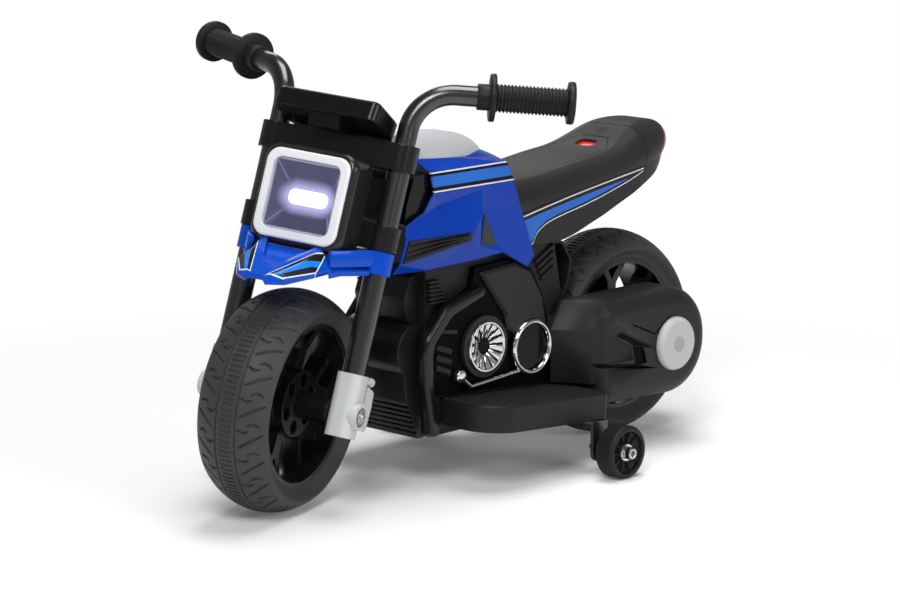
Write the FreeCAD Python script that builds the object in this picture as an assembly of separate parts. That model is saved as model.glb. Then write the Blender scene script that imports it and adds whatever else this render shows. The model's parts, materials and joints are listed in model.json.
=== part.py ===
import FreeCAD, Part
import os
from math import acos, asin, atan2, cos, degrees, pi, radians, sin, sqrt, tan

V = FreeCAD.Vector

# A child's electric motorbike, in millimetres. The origin is on the floor under the rear axle, in the middle
# plane. +X points to the front wheel, +Y to the rider's left and +Z up. The front end rests turned left.

# Wheels
WHEELBASE = 511.0
WHEEL_RADIUS = 120.0
TYRE_HALF_WIDTH = 42.7
TYRE_EDGE_RADIUS = 102.7
TYRE_OPENING_RADIUS = 93.0
TYRE_OPENING_HALF_WIDTH = 34.0
TYRE_SEAT_RADIUS = 88.0
RIM_HALF_WIDTH = 32.0
RIM_WALL = 5.0
SPOKE_COUNT = 6
SPOKE_STEM_WIDTH = 15.0
SPOKE_BRANCH_WIDTH = 8.5
SPOKE_BRANCH_SPREAD = 13.0
SPOKE_FORK_RADIUS = 58.0
SPOKE_HALF_THICKNESS = 10.0
HUB_DISC_RADIUS = 36.0
HUB_DISC_HALF_WIDTH = 21.0
HUB_SCOOP_RADIUS = 7.5
HUB_SCOOP_DEPTH = 9.0
HUB_TUBE_RADIUS = 15.0
AXLE_RADIUS = 5.0
RUNNING_CLEARANCE = 0.08
SIDE_CLEARANCE = 0.4
NUT_ACROSS_FLATS = 15.0
NUT_HEIGHT = 6.0

# Front end, in its own frame: u forward, y left, w up along the steering axis, from the front axle's middle
RAKE = 18.2
STEER_AT_REST = 18.9
FORK_HALF_SPACING = 75.6
FORK_TUBE_RADIUS = 12.5
FORK_TUBE_WALL = 1.8
FORK_TUBE_BOTTOM = 14.0
CLAMP_SLEEVE_RADIUS = 17.0
CLAMP_FRONT = 16.0
CLAMP_BACK = 12.0
LOWER_CLAMP_BOTTOM = 174.4
LOWER_CLAMP_TOP = 201.0
UPPER_CLAMP_BOTTOM = 260.0
UPPER_CLAMP_TOP = 288.5
STEM_RADIUS = 8.0
BUSH_WALL = 3.0
HEAD_TUBE_WALL = 4.0
BUSH_FLANGE = 4.5
BUSH_GAP = 0.3
NECK_HALF_WIDTH = 20.0
NECK_HALF_HEIGHT = 22.0
NECK_LENGTH = 100.0
BAR_RADIUS = 11.0
BAR_WALL = 1.6
BAR_SOCKET_DEPTH = 14.5
BAR_CORNER_HEIGHT = 346.0
BAR_END = (-74.0, 215.2, 371.0)
BAR_BEND_RADIUS = 48.0
GRIP_LENGTH = 96.0
GRIP_RADIUS = 15.0
GRIP_COLLAR_RADIUS = 14.0
GRIP_COLLAR_LENGTH = 13.0
GRIP_FLANGE_RADIUS = 25.5
GRIP_FLANGE_THICKNESS = 6.0
GRIP_END_RADIUS = 22.5
GRIP_END_THICKNESS = 7.0
GRIP_RIB_COUNT = 20
GRIP_RIB_DEPTH = 1.6
CASTING_HALF_SIZE = 14.8
CASTING_TOP = 43.0
CASTING_BOTTOM = -24.5
CASTING_BOSS_RADIUS = 14.0
CASTING_BOSS_REACH = 19.9
CASTING_CORNER = 10.0
CASTING_RECESS_RADIUS = 10.5
CALIPER_DEPTH = 17.0
CALIPER_BOTTOM = -14.0
CALIPER_TOP = 33.0

# Headlamp
LAMP_HOUSING_HALF_WIDTH = 55.0
LAMP_HOUSING_BOTTOM = 158.0
LAMP_HOUSING_TOP = 265.0
LAMP_HOUSING_FRONT = 56.0
LAMP_HOUSING_WALL = 3.0
LAMP_HOUSING_CORNER = 18.0
LAMP_HOUSING_ROUND = 7.0
LAMP_FRAME_HALF_WIDTH = 49.2
LAMP_FRAME_HALF_HEIGHT = 47.3
LAMP_FRAME_BAND = 9.2
LAMP_FRAME_CORNER = 15.0
LAMP_FRAME_THICKNESS = 4.0
LAMP_LENS_THICKNESS = 1.6
LAMP_REFLECTOR_WALL = 1.6
LAMP_REFLECTOR_DEPTH = 17.0
LED_BAR_HALF_WIDTH = 22.5
LED_BAR_HALF_HEIGHT = 8.0
LED_BAR_THICKNESS = 3.0

# Dash
DASH_HALF_WIDTH = 61.0
DASH_DEPTH = 61.0
DASH_THICKNESS = 21.0
DASH_TILT = 13.7
DASH_FRONT = 55.0
DASH_FRONT_BOTTOM = 304.0
DASH_CORNER = 9.0
DASH_FOOT_HALF_WIDTH = 18.0
BUTTON_RADIUS = 7.0
BUTTON_HEIGHT = 6.0
BUTTON_PROUD = 3.0
BUTTON_TRAVEL = 2.0
BUTTON_GAP = 0.3
BUTTON_OFFSET = 34.0

# Mudguard
MUDGUARD_SLEEVE_RADIUS = 15.5
MUDGUARD_SLEEVE_BOTTOM = 149.0
MUDGUARD_WALL = 3.0
BEAK_REACH = 118.0
BEAK_TIP_HALF_WIDTH = 25.0
BEAK_TIP_HEIGHT = 116.0

# Main body
BODY_HALF_WIDTH = 50.0
BODY_WALL = 3.0
BODY_REAR = 128.0
REAR_KNEE = 190.0
BODY_REAR_LEAN = 0.2
BODY_FRONT = 345.0
BODY_BOTTOM = 58.0
TANK_DECK = 346.0
TANK_FRONT = 356.0
TANK_FLOOR = 250.0
SEAT_PLANE_FOOT = 192.0
SEAT_PLANE_FOOT_HEIGHT = 242.0
SEAT_PLANE_SLOPE = 0.42
SHROUD_WALL = 2.5
SEAT_WALL = 3.0
SEAT_GAP = 0.05
TAIL_END = -70.0
TAIL_LENS_THICKNESS = 5.0

# Engine dress
ENGINE_HALF_WIDTH = 46.0
DRUM_RADIUS = 30.0
DRUM_HEIGHT = 155.0
DRUM_FRONT = 384.0
ENGINE_COVER_FACE = 58.0
GUARD_WIDTH = 10.0
GUARD_FACE = 69.0
GUARD_ROUND = 4.5
GUARD_END_ROUND = 5.5
KNOB_FACE = 67.0
COVER_RISE_FACE = 63.5
COVER_RISE_SLOPE = 3.0
TURBINE_CENTRE = (264.0, 149.0)
TURBINE_RADIUS = 28.0
TURBINE_FACE = 66.0
TURBINE_VANES = 14
RING_CENTRE = (191.0, 138.0)
RING_RADIUS = 31.5
RING_BAND = 5.0
RING_FACE = 66.0
ROD_RADIUS = 2.6
KNOB_RADIUS = 7.5
FIN_COUNT = 6

# Footboards
BOARD_OUTER = 134.0
BOARD_REAR = 132.0
BOARD_FRONT = 336.0
BOARD_THICKNESS = 29.0
BOARD_WALL = 3.5
BOARD_TILT = 3.8
BOARD_REAR_TOP = 87.0
BOARD_CORNER = 42.0
BOARD_EDGE_CHAMFER = 1.2

# Rear end
ARM_THICKNESS = 8.0
ARM_BOSS_RADIUS = 30.0
COVER_FACE = 110.0
COVER_RADIUS = 64.0
COVER_WALL = 3.0
COVER_ROUND = 20.0
COVER_FRONT = 126.0
COVER_SHELF_FRONT = 158.0
COVER_SHELF_BOTTOM = 92.0
COVER_NOSE = 134.0
COVER_NOSE_FACE = 102.0
COVER_BREAK = 152.0
COVER_LEAN = 20.0
COVER_TOP = 183.5
COVER_CORNER = 24.0
CAP_RADIUS = 31.0
CAP_THICKNESS = 8.0
SPLASH_WALL = 3.0
SPLASH_HALF_WIDTH = 47.0

# Training wheels
TRAINER_X = 157.0
TRAINER_RADIUS = 30.0
TRAINER_INNER = 155.0
TRAINER_OUTER = 179.0
TRAINER_BOLT_RADIUS = 4.0
BRACKET_FACE = 137.0
BRACKET_THICKNESS = 4.0
BRACKET_HALF_WIDTH = 12.0

# Drive: motor pinion, two cluster gears and an output gear on the rear wheel's hub
GEAR_MODULE = 0.8
PINION_TEETH = 12
CLUSTER_LARGE_TEETH = 70
CLUSTER_SMALL_TEETH = 16
OUTPUT_TEETH = 96
GEAR_WIDTH = 4.0
GEAR_STEP = 5.0
GEAR_SHAFT_RADIUS = 2.5
GEARBOX_WALL = 2.0
GEARBOX_GAP = 1.0
GEAR_LINE_TURNS = (26.5, -22.0, -37.5)
MOTOR_RADIUS = 12.0
MOTOR_LENGTH = 26.0
MOTOR_SHAFT_RADIUS = 1.2
OUTPUT_HUB_RADIUS = 12.0

# Power and controls
BATTERY_SIZE = (70.0, 47.0, 100.0)
BATTERY_X = 262.0
CONTROLLER_SIZE = (58.0, 40.0, 18.0)
SOCKET_PLACE = (154.0, 204.0)
SOCKET_BORE_RADIUS = 2.75
SOCKET_BORE_LENGTH = 9.0
SOCKET_BARREL_RADIUS = 5.5
SOCKET_FLANGE_RADIUS = 8.0
SWITCH_PLACE = (160.0, 233.0)
SWITCH_HALF_LENGTH = 10.0
SWITCH_HALF_WIDTH = 6.0
SWITCH_FRAME = 3.0
ROCKER_GAP = 0.5
ROCKER_TILT = 6.0
SPEAKER_RADIUS = 26.0
PEDAL_X = 236.0
PEDAL_LENGTH = 62.0
PEDAL_INNER = 66.0
PEDAL_WIDTH = 46.0
PEDAL_THICKNESS = 7.0
PEDAL_RISE = 12.0
PEDAL_PIN_RADIUS = 2.5


def fillet_wire(points, to_vector):
    """A closed wire through (a, b, radius) corners, each rounded where its radius is not 0."""
    edges = []
    starts, ends = [], []
    count = len(points)
    for index, (a, b, radius) in enumerate(points):
        before = V(points[index - 1][0] - a, points[index - 1][1] - b, 0).normalize()
        after = V(points[(index + 1) % count][0] - a, points[(index + 1) % count][1] - b, 0).normalize()
        corner = V(a, b, 0)
        if radius == 0:
            starts.append((corner, None))
            ends.append(corner)
            continue
        half = acos(max(-1.0, min(1.0, before.dot(after)))) / 2
        reach = radius / tan(half)
        middle = corner + (before + after).normalize() * (radius / sin(half) - radius)
        starts.append((corner + before * reach, middle))
        ends.append(corner + after * reach)
    for index in range(count):
        begin, middle = starts[index]
        if middle is not None:
            edges.append(Part.Arc(to_vector(begin), to_vector(middle), to_vector(ends[index])).toShape())
        following = starts[(index + 1) % count][0]
        if (following - ends[index]).Length > 1e-6:
            edges.append(Part.LineSegment(to_vector(ends[index]), to_vector(following)).toShape())
    return Part.Wire(edges)


def slab_y(points, y_from, y_to):
    """A plate across Y whose outline is (x, z, radius) corners."""
    face = Part.Face(fillet_wire(points, lambda p: V(p.x, y_from, p.y)))
    return face.extrude(V(0, y_to - y_from, 0))


def slab_z(points, z_from, z_to):
    """A plate across Z whose outline is (x, y, radius) corners."""
    face = Part.Face(fillet_wire(points, lambda p: V(p.x, p.y, z_from)))
    return face.extrude(V(0, 0, z_to - z_from))


def slab_x(points, x_from, x_to):
    """A plate across X whose outline is (y, z, radius) corners."""
    face = Part.Face(fillet_wire(points, lambda p: V(x_from, p.x, p.y)))
    return face.extrude(V(x_to - x_from, 0, 0))


def sharp(points):
    return [(a, b, 0) for a, b in points]


def disc_y(radius, centre, y_from, y_to):
    """A round bar along Y at centre = (x, z)."""
    low, high = min(y_from, y_to), max(y_from, y_to)
    return Part.makeCylinder(radius, high - low, V(centre[0], low, centre[1]), V(0, 1, 0))


def ring_y(outer, inner, centre, y_from, y_to):
    return disc_y(outer, centre, y_from, y_to).cut(disc_y(inner, centre, y_from, y_to))


def bar_w(radius, at, w_from, w_to):
    """A round bar along Z at = (x, y)."""
    return Part.makeCylinder(radius, w_to - w_from, V(at[0], at[1], w_from), V(0, 0, 1))


def box(x_from, x_to, y_from, y_to, z_from, z_to):
    return Part.makeBox(x_to - x_from, y_to - y_from, z_to - z_from, V(x_from, y_from, z_from))


def turned_y(profile):
    """A solid of revolution about the Y axis from a closed list of (radius, y) corners."""
    wire = Part.makePolygon([V(r, y, 0) for r, y in profile] + [V(profile[0][0], profile[0][1], 0)])
    return Part.Face(wire).revolve(V(0, 0, 0), V(0, 1, 0), 360)


def hexagon_y(across_flats, centre, y_from, y_to):
    corner = across_flats / sqrt(3)
    points = [(centre[0] + corner * cos(pi * k / 3), centre[1] + corner * sin(pi * k / 3),
               0) for k in range(6)]
    return slab_y(points, y_from, y_to)


def faceted(vertices, faces, depth):
    """A moulded wall: flat facets on the outside, and the same facets moved by the vector depth inside."""
    inner = [v + depth for v in vertices]
    sides = {}
    skin = []
    for face in faces:
        ring = [vertices[k] for k in face]
        back = [inner[k] for k in reversed(face)]
        skin.append(Part.Face(Part.makePolygon(ring + ring[:1])))
        skin.append(Part.Face(Part.makePolygon(back + back[:1])))
        for a, b in zip(face, face[1:] + face[:1]):
            if (b, a) in sides:
                del sides[(b, a)]
            else:
                sides[(a, b)] = True
    for a, b in sides:
        ring = [vertices[b], vertices[a], inner[a], inner[b]]
        skin.append(Part.Face(Part.makePolygon(ring + ring[:1])))
    solid = Part.Solid(Part.Shell(skin))
    if solid.Volume < 0:
        solid.reverse()
    return solid


def triangles(quads):
    """Each four-cornered facet as two flat ones; three-cornered facets stay."""
    out = []
    for q in quads:
        out.append([q[0], q[1], q[2]])
        if len(q) == 4:
            out.append([q[0], q[2], q[3]])
    return out


def swept(points, bends, radius):
    """A round bar along straight runs joined by tangent arcs, one bend radius per inner corner."""
    edges = []
    start = points[0]
    for index, bend in enumerate(bends):
        corner = points[index + 1]
        back = (points[index] - corner).normalize()
        ahead = (points[index + 2] - corner).normalize()
        half = acos(back.dot(ahead)) / 2
        reach = bend / tan(half)
        enter, leave = corner + back * reach, corner + ahead * reach
        middle = corner + (back + ahead).normalize() * (bend / sin(half) - bend)
        edges.append(Part.LineSegment(start, enter).toShape())
        edges.append(Part.Arc(enter, middle, leave).toShape())
        start = leave
    edges.append(Part.LineSegment(start, points[-1]).toShape())
    path = Part.Wire(edges)
    section = Part.Wire(Part.makeCircle(radius, points[0], points[1] - points[0]))
    return path.makePipeShell([section], True, False)


def mirrored(shape):
    return shape.mirror(V(0, 0, 0), V(0, 1, 0))


def joined(shapes):
    result = shapes[0]
    if len(shapes) > 1:
        result = shapes[0].fuse(shapes[1:])
    return result.removeSplitter()


def pair(shape):
    """The shape on the left and its mirror image on the right, as two solids."""
    return group([shape, mirrored(shape)])


def group(shapes):
    return Part.makeCompound(shapes)


# The front end's place: up the rake, then turned about the steering axis. The leaning front tyre has a round
# crown, so the height at which it touches the floor follows from the lean and the crown's radius.
CROWN_DROP = WHEEL_RADIUS - TYRE_EDGE_RADIUS
CROWN_RADIUS = (TYRE_HALF_WIDTH ** 2 + CROWN_DROP ** 2) / (2 * CROWN_DROP)
FRONT_LEAN = asin(sin(radians(STEER_AT_REST)) * sin(radians(RAKE)))
FRONT_AXLE_HEIGHT = (WHEEL_RADIUS - CROWN_RADIUS) * cos(FRONT_LEAN) + CROWN_RADIUS
FRONT_AXLE = V(WHEELBASE, 0, FRONT_AXLE_HEIGHT)
REAR_AXLE = V(0, 0, WHEEL_RADIUS)
RAKED = FreeCAD.Placement(FRONT_AXLE, FreeCAD.Rotation(V(0, 1, 0), -RAKE))
STEERED = RAKED.multiply(FreeCAD.Placement(V(0, 0, 0), FreeCAD.Rotation(V(0, 0, 1), STEER_AT_REST)))


def placed(shape, placement):
    return shape.transformed(placement.toMatrix(), True)


PARTS = {}


def steered(name, shape):
    PARTS[name] = placed(shape, STEERED)


def chassis(name, shape):
    PARTS[name] = shape


# Wheels. Both are alike: a moulded tyre with a round crown on a deep rim with forked spokes.
def tyre():
    edge = (TYRE_EDGE_RADIUS, TYRE_HALF_WIDTH)
    lip = (TYRE_OPENING_RADIUS, TYRE_OPENING_HALF_WIDTH)
    seat = (TYRE_SEAT_RADIUS, RIM_HALF_WIDTH)
    corners = [V(edge[0], -edge[1], 0), V(lip[0], -lip[1], 0), V(seat[0], -seat[1], 0),
               V(seat[0], seat[1], 0), V(lip[0], lip[1], 0), V(edge[0], edge[1], 0)]
    edges = [Part.LineSegment(a, b).toShape() for a, b in zip(corners, corners[1:])]
    edges.append(Part.Arc(corners[-1], V(WHEEL_RADIUS, 0, 0), corners[0]).toShape())
    return Part.Face(Part.Wire(edges)).revolve(V(0, 0, 0), V(0, 1, 0), 360)


def spoke(angle):
    """One forked spoke: a stem from the hub that splits into two branches to the rim."""
    root = HUB_DISC_RADIUS - 4.0
    reach = TYRE_SEAT_RADIUS - RIM_WALL + 1.5
    half = SPOKE_HALF_THICKNESS
    stem = box(root, SPOKE_FORK_RADIUS + 4.0, -half, half, -SPOKE_STEM_WIDTH / 2, SPOKE_STEM_WIDTH / 2)
    pieces = [stem]
    for side in (-1, 1):
        tip = V(reach * cos(radians(SPOKE_BRANCH_SPREAD)), 0,
                side * reach * sin(radians(SPOKE_BRANCH_SPREAD)))
        foot = V(SPOKE_FORK_RADIUS, 0, side * (SPOKE_STEM_WIDTH - SPOKE_BRANCH_WIDTH) / 2)
        lean = degrees(atan2(tip.z - foot.z, tip.x - foot.x))
        branch = box(0, (tip - foot).Length, -half, half, -SPOKE_BRANCH_WIDTH / 2, SPOKE_BRANCH_WIDTH / 2)
        branch.Placement = FreeCAD.Placement(foot, FreeCAD.Rotation(V(0, 1, 0), -lean))
        pieces.append(branch)
    whole = joined(pieces)
    whole.rotate(V(0, 0, 0), V(0, 1, 0), -angle)
    return whole


def rim(hub_left, hub_right):
    """The rim, its spokes and the hub, bored for the axle, from y = -hub_right to hub_left."""
    centre = (0, 0)
    barrel = ring_y(TYRE_SEAT_RADIUS, TYRE_SEAT_RADIUS - RIM_WALL, centre, -RIM_HALF_WIDTH, RIM_HALF_WIDTH)
    disc = disc_y(HUB_DISC_RADIUS, centre, -HUB_DISC_HALF_WIDTH, HUB_DISC_HALF_WIDTH)
    scoop_place = (HUB_DISC_RADIUS + HUB_TUBE_RADIUS) / 2
    for k in range(SPOKE_COUNT):
        turn = 2 * pi * (k + 0.5) / SPOKE_COUNT
        at = (scoop_place * cos(turn), scoop_place * sin(turn))
        for side in (-1, 1):
            outer = side * HUB_DISC_HALF_WIDTH
            disc = disc.cut(disc_y(HUB_SCOOP_RADIUS, at, outer - side * HUB_SCOOP_DEPTH, outer))
    tube = disc_y(HUB_TUBE_RADIUS, centre, -hub_right, hub_left)
    spokes = [spoke(35.0 + 360.0 * k / SPOKE_COUNT) for k in range(SPOKE_COUNT)]
    whole = joined([barrel, disc, tube] + spokes)
    return whole.cut(disc_y(AXLE_RADIUS + RUNNING_CLEARANCE, centre, -hub_right, hub_left))


def axle(y_from, y_to, nut_left, nut_right):
    """A plain axle with a hexagon nut at each end; nut_left and nut_right are the nuts' inner faces."""
    return joined([disc_y(AXLE_RADIUS, (0, 0), y_from, y_to),
                   hexagon_y(NUT_ACROSS_FLATS, (0, 0), nut_left, nut_left + NUT_HEIGHT),
                   hexagon_y(NUT_ACROSS_FLATS, (0, 0), nut_right - NUT_HEIGHT, nut_right)])


FORK_INNER_FACE = FORK_HALF_SPACING - CASTING_HALF_SIZE
CASTING_BOSS_FACE = FORK_HALF_SPACING + CASTING_BOSS_REACH
FRONT_HUB = FORK_INNER_FACE - SIDE_CLEARANCE
FRONT_NUT_FACE = CASTING_BOSS_FACE - NUT_HEIGHT
steered("front_tyre", tyre())
steered("front_rim", rim(FRONT_HUB, FRONT_HUB))
steered("front_axle", axle(-CASTING_BOSS_FACE, CASTING_BOSS_FACE, FRONT_NUT_FACE, -FRONT_NUT_FACE))


# Fork: steel tubes in grey castings that hold the axle, and two clamps that tie the tubes to the stem.
def fork_casting():
    centre, half = FORK_HALF_SPACING, CASTING_HALF_SIZE
    corners = [(-half, centre - half, CASTING_CORNER), (half, centre - half, CASTING_CORNER),
               (half, centre + half, CASTING_CORNER), (-half, centre + half, CASTING_CORNER)]
    body = slab_z(corners, CASTING_BOTTOM, CASTING_TOP)
    boss = disc_y(CASTING_BOSS_RADIUS, (0, 0), centre, CASTING_BOSS_FACE)
    caliper_outline = [(-half, CALIPER_BOTTOM, 0), (-half, CALIPER_TOP, 0),
                       (-half - CALIPER_DEPTH, CALIPER_TOP - 4, 5),
                       (-half - CALIPER_DEPTH - 2, CALIPER_TOP - 22, 3),
                       (-half - CALIPER_DEPTH + 1, CALIPER_BOTTOM, 4)]
    caliper = slab_y(caliper_outline, centre - 2, centre + half - 2)
    pin_start = V(-half + 2, centre + half - 8, CASTING_TOP - 5)
    pin = Part.makeCylinder(3.5, 17.0, pin_start, V(-1, 0, 0))
    pin_head = Part.makeCylinder(5.0, 6.0, pin_start + V(-13, 0, 0), V(-1, 0, 0))
    whole = joined([body, boss, caliper, pin, pin_head])
    whole = whole.cut(disc_y(CASTING_RECESS_RADIUS, (0, 0), FRONT_NUT_FACE, CASTING_BOSS_FACE))
    whole = whole.cut(disc_y(AXLE_RADIUS, (0, 0), centre - half, CASTING_BOSS_FACE))
    return whole.cut(bar_w(FORK_TUBE_RADIUS, (0, centre), FORK_TUBE_BOTTOM, CASTING_TOP))


FORK_TUBE_TOP = UPPER_CLAMP_TOP - BAR_SOCKET_DEPTH
LEG = (0, FORK_HALF_SPACING)
LEGS = (LEG, (0, -FORK_HALF_SPACING))


def fork_tube():
    outer = bar_w(FORK_TUBE_RADIUS, LEG, FORK_TUBE_BOTTOM, FORK_TUBE_TOP)
    return outer.cut(bar_w(FORK_TUBE_RADIUS - FORK_TUBE_WALL, LEG, FORK_TUBE_BOTTOM, FORK_TUBE_TOP))


def clamp(bottom, top):
    """A bridge between two sleeves, bored for the fork tubes and the stem."""
    bridge = [(-CLAMP_BACK, -FORK_HALF_SPACING, 0), (CLAMP_FRONT, -FORK_HALF_SPACING, 6),
              (CLAMP_FRONT, FORK_HALF_SPACING, 6), (-CLAMP_BACK, FORK_HALF_SPACING, 0)]
    pieces = [slab_z(bridge, bottom, top)]
    for leg in LEGS:
        sleeve = bar_w(CLAMP_SLEEVE_RADIUS, leg, bottom, top)
        sleeve.rotate(V(leg[0], leg[1], 0), V(0, 0, 1), 90 if leg[1] > 0 else -90)
        pieces.append(sleeve)
    whole = joined(pieces)
    for leg in LEGS:
        whole = whole.cut(bar_w(FORK_TUBE_RADIUS, leg, bottom, min(top, FORK_TUBE_TOP)))
    return whole.cut(bar_w(STEM_RADIUS, (0, 0), bottom, top))


STEM_NUT_DEPTH = 7.0
STEM_NUT_RADIUS = 10.5
STEM_HEAD_HEIGHT = 6.0


def upper_clamp():
    whole = clamp(UPPER_CLAMP_BOTTOM, UPPER_CLAMP_TOP)
    for leg in LEGS:
        whole = whole.cut(bar_w(BAR_RADIUS, leg, FORK_TUBE_TOP, UPPER_CLAMP_TOP))
    return whole.cut(bar_w(STEM_NUT_RADIUS, (0, 0), UPPER_CLAMP_TOP - STEM_NUT_DEPTH, UPPER_CLAMP_TOP))


def stem():
    """The steering stem: a rod with a head below the lower clamp and a nut sunk in the upper one."""
    return joined([bar_w(STEM_RADIUS, (0, 0), LOWER_CLAMP_BOTTOM - STEM_HEAD_HEIGHT, UPPER_CLAMP_TOP),
                   bar_w(STEM_NUT_RADIUS, (0, 0), LOWER_CLAMP_BOTTOM - STEM_HEAD_HEIGHT,
                         LOWER_CLAMP_BOTTOM),
                   bar_w(STEM_NUT_RADIUS, (0, 0), UPPER_CLAMP_TOP - STEM_NUT_DEPTH, UPPER_CLAMP_TOP)])


steered("fork_castings", pair(fork_casting()))
steered("fork_tubes", pair(fork_tube()))
steered("lower_clamp", clamp(LOWER_CLAMP_BOTTOM, LOWER_CLAMP_TOP))
steered("upper_clamp", upper_clamp())
steered("steering_stem", stem())


# Handlebar: one bent tube a side, in line with the fork tube, with a ribbed rubber grip at its end.
BAR_FOOT = V(0, FORK_HALF_SPACING, FORK_TUBE_TOP)
BAR_CORNER = V(0, FORK_HALF_SPACING, BAR_CORNER_HEIGHT)
BAR_TIP = V(*BAR_END)
BAR_RUN = (BAR_TIP - BAR_CORNER).normalize()


def handlebar():
    outer = swept([BAR_FOOT, BAR_CORNER, BAR_TIP], [BAR_BEND_RADIUS], BAR_RADIUS)
    inner = swept([BAR_FOOT, BAR_CORNER, BAR_TIP], [BAR_BEND_RADIUS], BAR_RADIUS - BAR_WALL)
    return outer.cut(inner)


def grip():
    """A closed rubber sleeve: collar, large inner flange, ribbed barrel and end flange."""
    start = -(GRIP_LENGTH + GRIP_COLLAR_LENGTH)
    profile = [(BAR_RADIUS, start), (GRIP_COLLAR_RADIUS, start)]
    flange = start + GRIP_COLLAR_LENGTH
    profile += [(GRIP_COLLAR_RADIUS, flange), (GRIP_FLANGE_RADIUS - 2, flange),
                (GRIP_FLANGE_RADIUS, flange + 2),
                (GRIP_FLANGE_RADIUS, flange + GRIP_FLANGE_THICKNESS - 2),
                (GRIP_FLANGE_RADIUS - 2, flange + GRIP_FLANGE_THICKNESS)]
    barrel_start = flange + GRIP_FLANGE_THICKNESS
    pitch = (-barrel_start - GRIP_END_THICKNESS + 3.0) / GRIP_RIB_COUNT
    for k in range(GRIP_RIB_COUNT):
        rib = barrel_start + k * pitch
        swell = 1.2 * sin(pi * (k + 0.5) / GRIP_RIB_COUNT)
        profile += [(GRIP_RADIUS - GRIP_RIB_DEPTH + swell, rib),
                    (GRIP_RADIUS - GRIP_RIB_DEPTH + swell, rib + pitch * 0.4),
                    (GRIP_RADIUS + swell, rib + pitch * 0.55), (GRIP_RADIUS + swell, rib + pitch * 0.85)]
    tail = barrel_start + GRIP_RIB_COUNT * pitch
    profile += [(GRIP_RADIUS - GRIP_RIB_DEPTH, tail), (GRIP_END_RADIUS - 2, tail),
                (GRIP_END_RADIUS, tail + 2),
                (GRIP_END_RADIUS, tail + GRIP_END_THICKNESS - 2),
                (GRIP_END_RADIUS - 2, tail + GRIP_END_THICKNESS),
                (0, tail + GRIP_END_THICKNESS), (0, 0), (BAR_RADIUS, 0)]
    shape = turned_y(profile)
    return placed(shape, FreeCAD.Placement(BAR_TIP, FreeCAD.Rotation(V(0, 1, 0), BAR_RUN)))


steered("handlebars", pair(handlebar()))
steered("grips", pair(grip()))


# Headlamp: a black housing on the clamps, a reflector with a light bar, a clear lens and a white frame.
LAMP_MIDDLE = (LAMP_HOUSING_BOTTOM + LAMP_HOUSING_TOP) / 2


def rounded_front(half_width, half_height, corner, u_from, u_to):
    corners = [(-half_width, LAMP_MIDDLE - half_height, corner),
               (half_width, LAMP_MIDDLE - half_height, corner),
               (half_width, LAMP_MIDDLE + half_height, corner),
               (-half_width, LAMP_MIDDLE + half_height, corner)]
    return slab_x(corners, u_from, u_to)


HOUSING_HALF_HEIGHT = (LAMP_HOUSING_TOP - LAMP_HOUSING_BOTTOM) / 2
FRAME_INNER_HALF_WIDTH = LAMP_FRAME_HALF_WIDTH - LAMP_FRAME_BAND
FRAME_INNER_HALF_HEIGHT = LAMP_FRAME_HALF_HEIGHT - LAMP_FRAME_BAND
FRAME_INNER_CORNER = LAMP_FRAME_CORNER - LAMP_FRAME_BAND * 0.6
HOUSING_BACK = CLAMP_FRONT + LAMP_HOUSING_WALL
REFLECTOR_BACK = LAMP_HOUSING_FRONT - LAMP_REFLECTOR_DEPTH
LENS_BACK = LAMP_HOUSING_FRONT


def edges_at_x(shape, x):
    return [e for e in shape.Edges if abs(e.BoundBox.XMin - x) < 1e-4 and abs(e.BoundBox.XMax - x) < 1e-4]


def lamp_housing():
    shell = rounded_front(LAMP_HOUSING_HALF_WIDTH, HOUSING_HALF_HEIGHT, LAMP_HOUSING_CORNER, CLAMP_FRONT,
                          LAMP_HOUSING_FRONT)
    shell = shell.makeFillet(LAMP_HOUSING_ROUND, edges_at_x(shell, LAMP_HOUSING_FRONT))
    hollow = rounded_front(FRAME_INNER_HALF_WIDTH + LAMP_REFLECTOR_WALL,
                           FRAME_INNER_HALF_HEIGHT + LAMP_REFLECTOR_WALL,
                           FRAME_INNER_CORNER + LAMP_REFLECTOR_WALL, HOUSING_BACK, LAMP_HOUSING_FRONT)
    return shell.cut(hollow)


def lamp_frame():
    ring = rounded_front(LAMP_FRAME_HALF_WIDTH, LAMP_FRAME_HALF_HEIGHT, LAMP_FRAME_CORNER,
                         LAMP_HOUSING_FRONT, LAMP_HOUSING_FRONT + LAMP_FRAME_THICKNESS)
    ring = ring.makeFillet(LAMP_FRAME_THICKNESS * 0.6,
                           edges_at_x(ring, LAMP_HOUSING_FRONT + LAMP_FRAME_THICKNESS))
    return ring.cut(rounded_front(FRAME_INNER_HALF_WIDTH, FRAME_INNER_HALF_HEIGHT, FRAME_INNER_CORNER,
                                  LAMP_HOUSING_FRONT, LAMP_HOUSING_FRONT + LAMP_FRAME_THICKNESS))


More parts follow.
